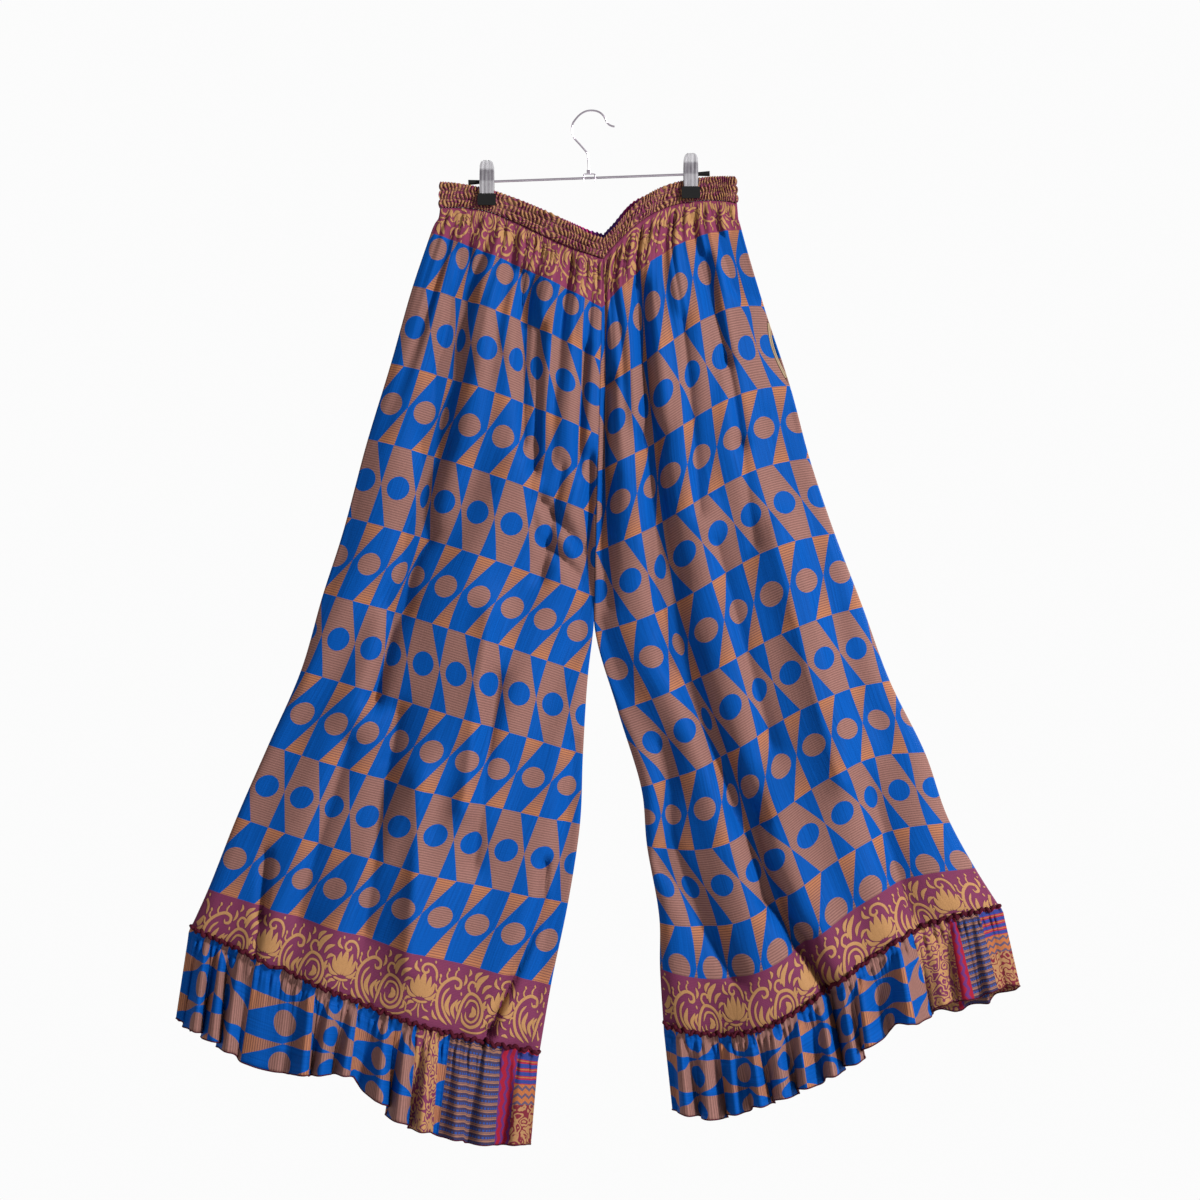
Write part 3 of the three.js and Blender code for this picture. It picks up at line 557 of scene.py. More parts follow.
class Value:
    """A number in a material's node tree, with the usual arithmetic."""

    def __init__(self, tree, socket):
        self.tree = tree
        self.socket = socket

    def do(self, operation, *others):
        node = self.tree.nodes.new("ShaderNodeMath")
        node.operation = operation
        for place, item in zip(node.inputs, (self,) + others):
            if isinstance(item, Value):
                self.tree.links.new(item.socket, place)
            else:
                place.default_value = item
        return Value(self.tree, node.outputs[0])

    __add__ = partialmethod(do, "ADD")
    __sub__ = partialmethod(do, "SUBTRACT")
    __mul__ = partialmethod(do, "MULTIPLY")
    __lt__ = partialmethod(do, "LESS_THAN")
    __gt__ = partialmethod(do, "GREATER_THAN")
    fract = partialmethod(do, "FRACT")
    sine = partialmethod(do, "SINE")
    size = partialmethod(do, "ABSOLUTE")

    def clamp(self):
        return self.do("MAXIMUM", 0.0).do("MINIMUM", 1.0)

    def wave(self, turns):
        """Zero to one and back, so many times to a unit."""
        return (self * (2 * math.pi * turns)).sine() * 0.5 + 0.5

    def off_middle(self):
        """Distance from the middle of each whole step, up to a half."""
        return (self.fract() - 0.5).size()


class Cloth:
    """A material under construction: places, noise, colour mixing and bump."""

    def __init__(self, name, roughness=0.6, specular=0.03):
        self.material = bpy.data.materials.new(name)
        self.material.use_nodes = True
        self.tree = self.material.node_tree
        self.shader = self.tree.nodes["Principled BSDF"]
        self.shader.inputs["Roughness"].default_value = roughness
        self.shader.inputs["Specular IOR Level"].default_value = specular

    def split(self, socket):
        node = self.tree.nodes.new("ShaderNodeSeparateXYZ")
        self.tree.links.new(socket, node.inputs[0])
        return tuple(Value(self.tree, output) for output in node.outputs)

    def uv(self):
        node = self.tree.nodes.new("ShaderNodeUVMap")
        node.uv_map = "cloth"
        return self.split(node.outputs[0])[:2]

    def place(self, kind):
        """Place on the piece, in metres for Object and in shares of its box for Generated."""
        return self.split(self.tree.nodes.new("ShaderNodeTexCoord").outputs[kind])

    def noise(self, x=None, y=None, detail=2.0, scale=1.0):
        """Noise over two values, or through the piece itself where none are given."""
        node = self.tree.nodes.new("ShaderNodeTexNoise")
        node.inputs["Scale"].default_value = scale
        node.inputs["Detail"].default_value = detail
        if x is None:
            place = self.tree.nodes.new("ShaderNodeTexCoord")
            self.tree.links.new(place.outputs["Object"], node.inputs["Vector"])
        else:
            join = self.tree.nodes.new("ShaderNodeCombineXYZ")
            self.tree.links.new(x.socket, join.inputs[0])
            self.tree.links.new(y.socket, join.inputs[1])
            self.tree.links.new(join.outputs[0], node.inputs["Vector"])
        return Value(self.tree, node.outputs[0])

    def mix(self, share, first, second):
        node = self.tree.nodes.new("ShaderNodeMix")
        node.data_type = "RGBA"
        self.tree.links.new(share.socket, node.inputs["Factor"])
        for place, colour in ((node.inputs[6], first), (node.inputs[7], second)):
            if isinstance(colour, tuple):
                place.default_value = (*colour, 1)
            else:
                self.tree.links.new(colour, place)
        return node.outputs[2]

    def colour(self, socket):
        self.tree.links.new(socket, self.shader.inputs["Base Color"])

    def bump(self, height, strength=0.2, distance=0.0006):
        node = self.tree.nodes.new("ShaderNodeBump")
        node.inputs["Strength"].default_value = strength
        node.inputs["Distance"].default_value = distance
        self.tree.links.new(height.socket, node.inputs["Height"])
        self.tree.links.new(node.outputs[0], self.shader.inputs["Normal"])

def tint(colour, factor):
    return tuple(part * factor for part in colour)


def geometric_print(cloth, u, v):
    """Colour of the row print: u counts columns from a circle's middle, v counts rows."""
    column = u.fract() - 1.0
    row = v.fract()
    brown_row = (v * 0.5).fract() > 0.5
    slant_brown = column + 1.0 - row
    slant_blue = column + row
    slant = slant_brown * brown_row + slant_blue * (brown_row * -1.0 + 1.0)
    hourglass = ((column + 0.5) * slant) < 0.0
    across = ((column + 0.5).size() * -1.0 + 0.5) * PRINT_COLUMN
    down = (row - 0.5) * PRINT_ROW
    circle = (across * across + down * down) < CIRCLE_RADIUS**2
    weft = v.wave(PRINT_ROW / WEFT_PITCH)
    streak = cloth.noise(u * 26.0, v * 0.9, 3.0)
    grain = cloth.noise(u * 12.0, v * 40.0, 2.0)
    end = ((row - 0.5).size() * 2.0 - 0.15).clamp()
    blue = cloth.mix((streak * 0.9 - 0.1).clamp(), tint(BLUE, 0.6), tint(BLUE, 1.35))
    brown = cloth.mix((weft * 0.7 + grain * 0.35).clamp(), tint(BROWN, 1.3), tint(BROWN, 0.62))
    stripe = cloth.mix(end, BROWN, ORANGE)
    stripe = cloth.mix((weft * weft * (end * -0.15 + 0.75)).clamp(), stripe, DARK_THREAD)
    blue_row = cloth.mix(circle, cloth.mix(hourglass, blue, stripe), brown)
    brown_ground = cloth.mix(circle, cloth.mix(hourglass, brown, blue), blue)
    return cloth.mix(brown_row, blue_row, brown_ground), weft, streak


def plum_ground(cloth, u, v, colour):
    weft = v.wave(PRINT_ROW / PLUM_WEFT_PITCH)
    shade = cloth.noise(u * 3.0, v * 2.0, 3.0)
    return cloth.mix((weft * 0.35 + shade * 0.5).clamp(), tint(colour, 1.25), tint(colour, 0.65))


def panel_silk(name, leg):
    cloth = Cloth(name)
    u, v = cloth.uv()
    base, weft, streak = geometric_print(cloth, u, v)
    base = cloth.mix(v < leg["main_top"], base, plum_ground(cloth, u, v, WAIST_PLUM))
    cloth.colour(cloth.mix(v > leg["main_bottom"], base, plum_ground(cloth, u, v, PLUM)))
    cloth.bump(weft * 0.3 + streak + cloth.noise(detail=4.0, scale=60.0) * 2.5, 0.35)
    return cloth.material


def ruffle_silk(name):
    """The same print turned a quarter, so its rows run along the ruffle."""
    cloth = Cloth(name)
    u, v = cloth.uv()
    base, weft, streak = geometric_print(cloth, v, u)
    cloth.colour(base)
    cloth.bump(weft * 0.3 + streak + cloth.noise(detail=4.0, scale=70.0) * 2.0, 0.35)
    return cloth.material


def finish_patch(cloth, base, u, v):
    grain = cloth.noise(u * 40.0, v * 20.0)
    cloth.colour(cloth.mix((grain * 0.4).clamp(), base, DARK_THREAD))
    cloth.bump(grain, 0.25)
    return cloth.material


def dash_silk(name):
    """Rows of orange lines and blue dots on navy."""
    cloth = Cloth(name)
    u, v = cloth.uv()
    row = (v * (PRINT_COLUMN / DASH_ROW)).fract()
    dot = ((u * (PRINT_ROW / DASH_STEP)).off_middle() < 0.3) * ((row - 0.25).size() < 0.14)
    line = ((row - 0.72).size() < 0.1) + ((row - 0.5).size() < 0.05)
    base = cloth.mix(line, NAVY, DASH_ORANGE)
    return finish_patch(cloth, cloth.mix(dot, base, DASH_BLUE), u, v)


def zigzag_line(along, across, zigzag):
    """One on the lines of a zigzag that runs along, both places in millimetres."""
    swing = (along * (1 / zigzag.step)).off_middle() * zigzag.swing
    return ((across + swing) * (1 / zigzag.pitch)).fract() > zigzag.ground


def zigzag_silk(name):
    """Purple zigzag running down a red ground."""
    cloth = Cloth(name)
    u, v = cloth.uv()
    line = zigzag_line(v * PRINT_COLUMN, u * PRINT_ROW, RED_ZIGZAG)
    return finish_patch(cloth, cloth.mix(line, ZIGZAG_RED, ZIGZAG_PURPLE), u, v)


def mixed_silk(name):
    """Red and blue stripes, then an orange zigzag, then gold figures on dark red, down the ruffle."""
    cloth = Cloth(name)
    u, v = cloth.uv()
    stripe = (v * (PRINT_COLUMN / STRIPE_PITCH)).fract()
    top = cloth.mix(stripe > 0.5, STRIPE_RED, STRIPE_BLUE)
    top = cloth.mix((stripe - 0.2).size() < 0.08, top, STRIPE_ORANGE)
    line = zigzag_line(u * PRINT_ROW, v * PRINT_COLUMN, ORANGE_ZIGZAG)
    middle = cloth.mix(line, ZIGZAG_ORANGE, ZIGZAG_GREY)
    end, _ = brocade(cloth, u * 7.0, v * 3.0, DARK_RED, GOLD)
    stripes_end, zigzag_end = MIXED_ENDS
    base = cloth.mix(v > stripes_end, top, middle)
    return finish_patch(cloth, cloth.mix(v > zigzag_end, base, end), u, v)


def brocade(cloth, x, y, ground, figure):
    """Winding gold figures on a plum ground, for cloth too crumpled to show a motif."""
    hills = cloth.noise(x, y, 1.5)
    winding = (hills * 7.0).off_middle() * 2.0
    share = ((winding - 0.05 - cloth.noise(x * 0.25, y * 0.4, 1.0) * 0.6) * 6.0).clamp()
    return cloth.mix(share, ground, figure), winding


def band_silk(name, ground, figure, crease, dip=None):
    """u counts puckers, v runs down the band, crease is the colour of the painted shade in the creases and
    along the channel seams, dip is the colour at the low middle.
    """
    cloth = Cloth(name, 0.65)
    u, v = cloth.uv()
    base, winding = brocade(cloth, u * 0.45, v * 2.6, ground, figure)
    if dip is not None:
        base = cloth.mix(((u - DIP_MIDDLE).size() * -0.25 + 1.4).clamp(), base, dip)
    # Painted shade: the colour darkens in the creases between puckers and along the channel seams
    seam = (((v * BAND.channels).off_middle() - 0.42) * 8.0) * (v < 0.9) * (v > 0.1)
    painted_shade = ((u.off_middle() * -3.4 + 0.95).clamp() + seam.clamp()).clamp()
    thread = cloth.noise(u * 5.0, v * 30.0, 3.0)
    cloth.colour(cloth.mix((painted_shade * 0.88 + thread * 0.2).clamp(), base, crease))
    cloth.bump(thread + winding * 0.5, 0.4)
    return cloth.material


def brocade_silk(name):
    cloth = Cloth(name)
    u, v = cloth.uv()
    base, winding = brocade(cloth, u * 7.0, v * 3.0, PLUM, GOLD)
    cloth.colour(base)
    cloth.bump(winding + cloth.noise(detail=4.0, scale=70.0) * 2.0, 0.4)
    return cloth.material


def plain_cloth(name, colour, roughness=0.7):
    cloth = Cloth(name, roughness)
    grain = cloth.noise(detail=4.0, scale=900.0)
    cloth.colour(cloth.mix((grain - 0.1).clamp(), tint(colour, 1.2), tint(colour, 0.7)))
    cloth.bump(grain, 0.4, 0.0004)
    return cloth.material


def ridged_plastic(name):
    """Grey plastic with upright ridges, with painted highlights on the ridge crests, painted light on the
    round top and painted shade below it.
    """
    cloth = Cloth(name, 0.1, 0.5)
    across, _, height = cloth.place("Object")
    _, _, up = cloth.place("Generated")
    # Painted light and shade: ridge crests and the round top lighter, the part below the top darker; the
    # cloudy noise is the plastic's own tone
    ridge = across.wave(1 / RIDGE_PITCH)
    cloudy = cloth.noise(across * 300.0, height * 60.0)
    top = ((up - 0.7) * 14.0).clamp()
    waist = ((up - 0.36) * 14.0).clamp() - top
    shade = (ridge * 0.3 + cloudy * 0.7 + top * 0.3 - waist * 0.3).clamp()
    cloth.colour(cloth.mix(shade, PLASTIC_DARK_AND_SHADED, PLASTIC_PALE_AND_LIT))
    cloth.shader.inputs["Coat Weight"].default_value = 0.8
    cloth.shader.inputs["Transmission Weight"].default_value = 0.3
    cloth.bump(ridge, 0.25)
    return cloth.material


def hard_material(name, colour, roughness, metallic=0.0, specular=0.5):
    cloth = Cloth(name, roughness, specular)
    cloth.shader.inputs["Metallic"].default_value = metallic
    wear = cloth.noise(detail=3.0, scale=400.0)
    cloth.colour(cloth.mix((wear * 0.6).clamp(), colour, tint(colour, 0.75)))
    cloth.bump(wear, 0.08, 0.0003)
    return cloth.material


silk = {name: panel_silk("silk_" + name, LEGS[name]) for name in LEGS}
ruffle_cloths = (
    ruffle_silk("ruffle_silk"),
    brocade_silk("patch_border"),
    dash_silk("patch_dashes"),
    zigzag_silk("patch_red"),
    mixed_silk("patch_orange"),
)
waist_silk = band_silk("waist_silk", WAIST_PLUM, GOLD, BAND_CREASE_SHADE)
waist_inside = band_silk("waist_inside", INSIDE_RED, INSIDE_FIGURE, INSIDE_CREASE_SHADE, INSIDE_VIOLET)
gold_thread = plain_cloth("gold_thread", GOLD, 0.5)
overlock = plain_cloth("overlock_thread", MAROON)
cream = plain_cloth("pocket_cloth", CREAM)
chrome = hard_material("chrome", CHROME, 0.2, 1.0)
clear = ridged_plastic("clear_plastic")
rubber = hard_material("black_rubber", RUBBER, 0.7, specular=0.12)


def pattern_uv(leg, s, v):
    """UV of the print, counted from left to right on both legs."""
    u = print_column(leg, s, v)
    return np.stack([u * -leg["out"], v], axis=-1)


def build_panel(leg_name, face_name, face):
    leg = LEGS[leg_name]
    down = np.linspace(leg["top"], leg["hem"], PANEL_ROWS + 1)
    s, v = np.meshgrid(np.linspace(0, 1, PANEL_COLUMNS + 1), down)
    middle = panel_point(leg_name, face, s, v)
    middle[0, :, 2] -= PANEL_TOP_CLEARANCE
    normals = grid_normals(middle, face)
    name = f"panel_{leg_name}_{face_name}"
    uv = pattern_uv(leg, s, v)
    panel = cloth_wall(name + "_cloth", middle, normals, CLOTH, uv, face, (silk[leg_name],))
    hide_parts(name)
    motif = build_motif(leg_name, face_name, face)


def bottom_edge(leg_name, face, s):
    """Place and height of a ruffle's lower edge without its waves."""
    side_x, side_z, inner_x, inner_z = RUFFLE_ENDS[leg_name]
    lifts = np.array(RUFFLE_LIFT[leg_name], dtype=float)
    z = side_z + (inner_z - side_z) * s + through(np.linspace(0, 1, len(lifts)), lifts, s)
    if leg_name == "right" and face < 0:
        z = z + np.interp(s, *zip(*BACK_RAISE))
    return side_x + (inner_x - side_x) * s, z


def wave_turn(leg_name, face, s):
    """Angle and height of a ruffle's waves along it."""
    table = dict(zip(WAVE_FIELDS, np.array(RUFFLE_WAVES[leg_name], dtype=float).T))
    shifted = s if face < 0 else np.clip(s + 0.012 * np.sin(2 * np.pi * 3.3 * s), 0, 1)
    count = through(table["s"], table["count"], shifted) + (0 if face < 0 else 0.37)
    height = through(table["s"], table["height"], shifted) * (1 + 0.25 * np.sin(4.1 * count + face))
    return 2 * np.pi * count, height


def pinches(face, s):
    """Small uneven gathers just below the ruffle's seam."""
    phase = 0.0 if face < 0 else 1.9
    total = np.zeros_like(s)
    for size, count, drift, rate in PINCHES:
        total += size * np.sin(2 * np.pi * (count * s + drift * np.sin(rate * s + phase)))
    return total


def heading_row(leg_name, face, s, share, clear_of_panel, turn, pinch):
    """Row of the standing heading at a share of its height."""
    leg = LEGS[leg_name]
    row_height = abs(leg["side_z"][-1] - leg["side_z"][-2])
    one_mm = (leg["v"][-1] - leg["v"][-2]) / row_height
    v = np.full_like(s, leg["hem"] - share * HEADING_HEIGHT * one_mm)
    row = panel_point(leg_name, face, s, v)
    frill = share * (HEADING_LEAN + HEADING_FRILL * pinch + np.sin(3 * turn + 0.8))
    row[:, 1] += face * (clear_of_panel + np.maximum(frill, 0))
    for high, waves, start in HEADING_WAVES:
        row[:, 2] += share * high * np.sin(waves * turn + start)
    return row


def falling_row(leg_name, face, s, share, seam, turn, height, pinch):
    """Row of the ruffle at a share of its fall, with waves that grow toward the hem."""
    closing_s, closing_fall = RUFFLE_CLOSING
    from_side = np.minimum(s, 1 - s) / closing_s
    edge = np.clip(from_side, 0, 1)
    at_seam = np.abs(seam[:, 1])
    closing = (1 - ease(from_side)) * ease(share / closing_fall)
    depth = at_seam - closing * (at_seam - RUFFLE_CLOTH / 2) + RUFFLE_FLARE * np.sin(np.pi * s) * share
    swing = RUFFLE_WAVE_HEIGHT * share**0.6 * height * edge
    puff = RUFFLE_PUFF * math.exp(-share / 0.4) * ease(share / 0.1)
    tight = (puff + PINCH_DEPTH * pinch * math.exp(-share / 0.13) * ease(share / 0.05)) * edge
    fold = np.cos(turn + 0.5 * np.sin(turn + 0.4 * np.sin(3 * s))) + 0.15 * np.cos(2.7 * turn + 1.2)
    y = depth + np.maximum(swing * fold, -0.85 * depth) + tight
    bottom_x, bottom_z = bottom_edge(leg_name, face, s)
    x = seam[:, 0] + (bottom_x - seam[:, 0]) * share
    x = x - LEGS[leg_name]["out"] * RUFFLE_SWAY * height * share * np.sin(turn + 0.6) * edge
    z = seam[:, 2] + (bottom_z - seam[:, 2]) * share
    z = z + RUFFLE_EDGE_SWAY * height * share**2 * np.cos(turn) * edge
    return np.stack([x, face * np.clip(y, RUFFLE_CLOTH / 2, RUFFLE_REACH), z], axis=-1)


def ruffle_grid(leg_name, face, s):
    """Middle of the cloth of a ruffle, its normals and its UV, from the heading down."""
    turn, height = wave_turn(leg_name, face, s)
    pinch = pinches(face, s)
    clear_of_panel = CLOTH / 2 + HEADING_CLEARANCE + RUFFLE_CLOTH / 2
    seam = panel_point(leg_name, face, s, np.full_like(s, LEGS[leg_name]["hem"]))
    seam[:, 1] += face * clear_of_panel
    falls = np.linspace(0, 1, RUFFLE_ROWS)
    rows = [heading_row(leg_name, face, s, up, clear_of_panel, turn, pinch) for up in HEADING_STEPS]
    rows += [falling_row(leg_name, face, s, fall, seam, turn, height, pinch) for fall in falls]
    middle = np.array(rows)
    normals = grid_normals(middle, face)
    normals[:len(HEADING_STEPS) + 1] = (0, face, 0)
    halfway = middle[len(HEADING_STEPS) + RUFFLE_ROWS // 2]
    steps = np.linalg.norm(np.diff(halfway, axis=0), axis=1)
    along = np.concatenate([[0], np.cumsum(steps)]) / PRINT_ROW
    down = np.concatenate([-np.array(HEADING_STEPS) * HEADING_HEIGHT, falls * RUFFLE_FALL]) / PRINT_COLUMN
    return middle, normals, np.stack(np.meshgrid(along, down), axis=-1)


def build_ruffle(leg_name, face_name, face):
    s = np.linspace(0, 1, RUFFLE_COLUMNS + 1)
    middle, normals, uv = ruffle_grid(leg_name, face, s)
    columns = np.zeros(RUFFLE_COLUMNS, dtype=int)
    for start, end, index in RUFFLE_PATCHES[leg_name]:
        columns[(s[:-1] >= start) & (s[:-1] < end)] = index
    name = f"ruffle_{leg_name}_{face_name}"
    ruffle = cloth_wall(name + "_cloth", middle, normals, RUFFLE_CLOTH, uv, face, ruffle_cloths, columns)
    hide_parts(name)
    for edge_name, row, radius in OVERLOCKS:
        cord = tube(f"{name}_{edge_name}_overlock", middle[row], radius, overlock)


# One repeat of the woven border: a flower, a scroll with berries, and a paisley with its crest.
# Each stroke has a kind, a half width and a line of points, x along the border and y down from the print.
REPEAT = 98.0
STROKES = [
    ("leaf", 4.2, (14, 53, 13.5, 40, 14, 27)), ("leaf", 3.2, (12, 53, 7.5, 42, 7, 30)),
    ("leaf", 3.2, (16, 53, 20.5, 42, 21.5, 30)), ("leaf", 2.7, (11, 53, 3.5, 46, 0.5, 35)),
    ("leaf", 2.7, (17, 53, 25, 46, 27.5, 36)), ("leaf", 2.0, (9, 54, 1, 52, -4, 44)),
    ("leaf", 2.0, (19, 54, 27, 52, 31, 46)), ("line", 1.2, (5, 56.5, 14, 58, 23, 56.5)),
    ("line", 0.9, (12, 59, 10, 65, 5, 70)), ("line", 0.9, (14, 59, 14, 66, 16, 74)),
    ("line", 0.9, (17, 59, 20, 64, 26, 66)), ("leaf", 1.7, (0, 64, 3, 60, 8, 60)),
    ("leaf", 1.5, (-4, 60, -1, 56, 3, 56)), ("leaf", 1.6, (8, 74, 6, 71, -1, 70)),
    ("leaf", 1.6, (20, 73, 24, 72, 29, 74)), ("leaf", 1.7, (-6, 52, -8, 47, -6, 42)),
    ("line", 1.4, (29, 34, 27, 24, 20, 18, 12, 19, 10, 24, 14, 27.5, 18, 25, 16.5, 22.5)),
    ("leaf", 1.8, (8, 27, 2, 23, 2, 16)), ("bead", 1.9, (5, 15.5, 7, 15)),
    ("bead", 1.7, (23, 14.5, 25, 14)),
    ("line", 1.7, (50, 75, 40, 68, 34, 56, 34, 43, 41, 32, 51, 27, 58, 30, 58, 36, 53, 37, 51.5, 33.5)),
    ("line", 1.3, (56, 74, 47, 66, 40.5, 55, 41, 45, 46, 38)), ("line", 1.0, (35, 46, 31, 43, 29.5, 39)),
    ("bead", 2.1, (28.5, 39.5, 30.5, 38)), ("line", 1.0, (37, 37, 33, 34, 33, 29)),
    ("bead", 2.1, (31.8, 28, 34, 27)), ("line", 1.0, (43, 31, 40, 26, 41, 21)),
    ("bead", 2.1, (40.3, 20, 42.5, 19)), ("line", 1.0, (51, 27, 50, 22, 52, 18)),
    ("bead", 2.0, (51.4, 17, 53.4, 16.2)), ("line", 1.0, (34, 54, 30, 53, 28, 57)),
    ("bead", 1.9, (27, 58, 29, 58.4)), ("leaf", 2.5, (52, 66, 46, 57, 49, 44)),
    ("leaf", 2.1, (58, 68, 53, 58, 58, 48)), ("leaf", 1.7, (60, 61, 58, 54, 62, 48)),
    ("leaf", 1.6, (38, 72, 33, 69, 30, 63)), ("bead", 2.0, (60, 42, 62, 41.5)),
    ("line", 1.6, (60, 72, 62, 60, 65, 48, 72, 39, 80, 40, 88, 48, 90, 58, 86, 68, 77, 72, 68, 68, 65, 60)),
    ("line", 1.2, (68, 55, 73, 46, 80, 46, 85, 54, 84, 62, 78, 67, 71, 64, 70, 58)),
    ("leaf", 3.2, (77, 51, 80, 57, 75, 62)), ("line", 1.3, (72, 39, 68, 33, 71, 27, 76, 28, 76, 32)),
    ("leaf", 3.1, (79, 36, 80, 26, 90, 15)), ("leaf", 2.2, (75, 25, 76, 19, 82, 14)),
    ("leaf", 2.1, (86, 36, 89, 29, 96, 25)), ("leaf", 1.8, (90, 41, 94, 36, 99, 36)),
    ("leaf", 1.7, (62, 33, 64, 27, 62, 21)), ("leaf", 1.6, (66, 22, 68, 18, 66, 14)),
    ("bead", 1.8, (92, 48, 94, 48)), ("line", 1.0, (66, 75.5, 78, 77, 90, 75, 98, 71)),
    ("line", 0.8, (92, 60, 97, 64, 97, 71)), ("leaf", 1.6, (90, 70, 94, 66, 93, 60)),
]
# Where the first repeat starts, in millimetres along the border of each leg, and which repeats are made
REPEAT_START = {"left": -34.0, "right": -12.0}
REPEATS = range(-5, 6)
FRONT_SHIFT = 37.0
# Height at which the strokes start, and where they start and how much they grow on the border
STROKES_TOP = 14.0
BORDER_GAP = 4.5
BORDER_GROW = 1.155
WAIST_SHARE = 0.78
WAIST_RISE = 3.0
# Lift of a ribbon off the cloth, steps between neighbours that could cross, and the ridge along its middle
RIBBON_LIFT = 0.3
RIBBON_STEP = 0.05
RIBBON_STEPS = 4
RIBBON_RIDGE = 0.25
# Shares of the panel's width and of the border's height past which no ribbon is made
SIDE_FREE = 0.006
END_FREE = 0.01
# Steps across and along the panel for the normal under a ribbon
NORMAL_STEP = (0.004, 0.015)


def along_line(points, step=2.0):
    """Points close together on a smooth line through the given ones."""
    points = np.array(points, dtype=float).reshape(-1, 2)
    knots = np.concatenate([[0], np.cumsum(np.linalg.norm(np.diff(points, axis=0), axis=1))])
    at = np.linspace(0, knots[-1], max(5, int(knots[-1] / step) + 1))
    return np.stack([through(knots, points[:, i], at) for i in (0, 1)], axis=-1)


def stroke_width(kind, count):
    t = np.linspace(0, 1, count)
    if kind == "leaf":
        return np.sin(np.pi * np.clip(t * 0.96 + 0.02, 0, 1)) ** 0.7
    if kind == "bead":
        return np.sin(np.pi * np.clip(t * 0.9 + 0.05, 0, 1)) ** 0.5
    return np.minimum(1, np.minimum(t, 1 - t) * 9 + 0.25)


def border_place(leg, x, y, at_waist):
    """Leg coordinates of a point of the border, and whether it is inside the panel."""
    edge_v, end_v = (leg["main_top"], leg["top"]) if at_waist else (leg["main_bottom"], leg["hem"])
    column = -leg["out"] * x / PRINT_COLUMN
    columns = print_column(leg, HIDDEN_S, np.full_like(HIDDEN_S, edge_v))
    s = np.interp(column, columns, HIDDEN_S, left=-1, right=2)
    held = np.clip(s, 0, 1)
    near = base_point(leg, held, np.full_like(held, edge_v))
    far = base_point(leg, held, np.full_like(held, end_v))
    share = y / np.sqrt(sum((a - b) ** 2 for a, b in zip(near, far)))
    inside = (s > SIDE_FREE) & (s < 1 - SIDE_FREE) & (share < 1 - END_FREE)
    return held, edge_v + (end_v - edge_v) * np.clip(share, 0, 1), inside


def stroke_ribbon(kind, half, line, shift):
    """Left edge, middle and right edge of a stroke, moved along the border."""
    centre = along_line(line)
    centre[:, 0] += shift
    heading = np.gradient(centre, axis=0)
    heading /= np.linalg.norm(heading, axis=1, keepdims=True) + 1e-9
    width = half * stroke_width(kind, len(centre))[:, None]
    aside = np.stack([-heading[:, 1], heading[:, 0]], axis=-1) * width
    return np.stack([centre - aside, centre, centre + aside], axis=1)


def border_ribbons(leg_name, face):
    """Ribbons of all repeats in the border's own plane, their lifts, and the last place of each."""
    start = REPEAT_START[leg_name] + (FRONT_SHIFT if face > 0 else 0)
    ribbons = []
    lifts = []
    lasts = []
    for repeat in REPEATS:
        for index, (kind, half, line) in enumerate(STROKES):
            ribbon = stroke_ribbon(kind, half, line, start + repeat * REPEAT)
            ribbons.append(ribbon)
            lifts.append(np.full(len(ribbon), CLOTH / 2 + RIBBON_LIFT + RIBBON_STEP * (index % RIBBON_STEPS)))
            lasts.append(np.arange(len(ribbon)) == len(ribbon) - 1)
    flat = np.concatenate(ribbons)
    flat[..., 1] = BORDER_GAP + BORDER_GROW * (flat[..., 1] - STROKES_TOP)
    return flat, np.concatenate(lifts), np.concatenate(lasts)


def build_motif(leg_name, face_name, face):
    """Raised gold weft of both borders of a panel, as ribbons on the cloth."""
    flat, lift, last = border_ribbons(leg_name, face)
    points = []
    quads = []
    for at_waist in (False, True):
        fall = WAIST_SHARE * flat[..., 1] - WAIST_RISE if at_waist else flat[..., 1]
        s, v, inside = border_place(LEGS[leg_name], flat[..., 0], fall, at_waist)
        inside = inside.all(axis=1)
        s, v = s[inside], v[inside]
        here = panel_point(leg_name, face, s, v)
        aside = panel_point(leg_name, face, s + NORMAL_STEP[0], v) - here
        below = panel_point(leg_name, face, s, v + NORMAL_STEP[1]) - here
        ridge = np.array([0, RIBBON_RIDGE, 0])
        raised = here + turned_out(np.cross(aside, below), face) * (lift[inside, None] + ridge)[..., None]
        place = sum(len(p) for p in points) + 3 * (np.cumsum(inside) - 1)
        a = place[:-1][inside[:-1] & inside[1:] & ~last[:-1]]
        quads.append(np.stack([a, a + 3, a + 4, a + 1], axis=-1))
        quads.append(np.stack([a + 1, a + 4, a + 5, a + 2], axis=-1))
        points.append(raised.reshape(-1, 3))
    name = f"border_motif_{leg_name}_{face_name}"
    motif = build_mesh(name, np.concatenate(points), np.concatenate(quads), (gold_thread,))
    return motif


def band_lift(face, around, s):
    """Lift of the band's upper edge over the line of the panels' top rows."""
    lift = BAND.point_rise * hump(1 - s, BAND.point_spread) - BAND.dip * hump(1 - s, BAND.dip_spread)
    if face > 0:
        lift = lift + BAND.front_rise * ease((s - BAND.front_from) / (1 - BAND.front_from))
        lift = lift + (around > 1) * BAND.right_rise * hump(s - BAND.right_at, BAND.right_spread)
    return lift


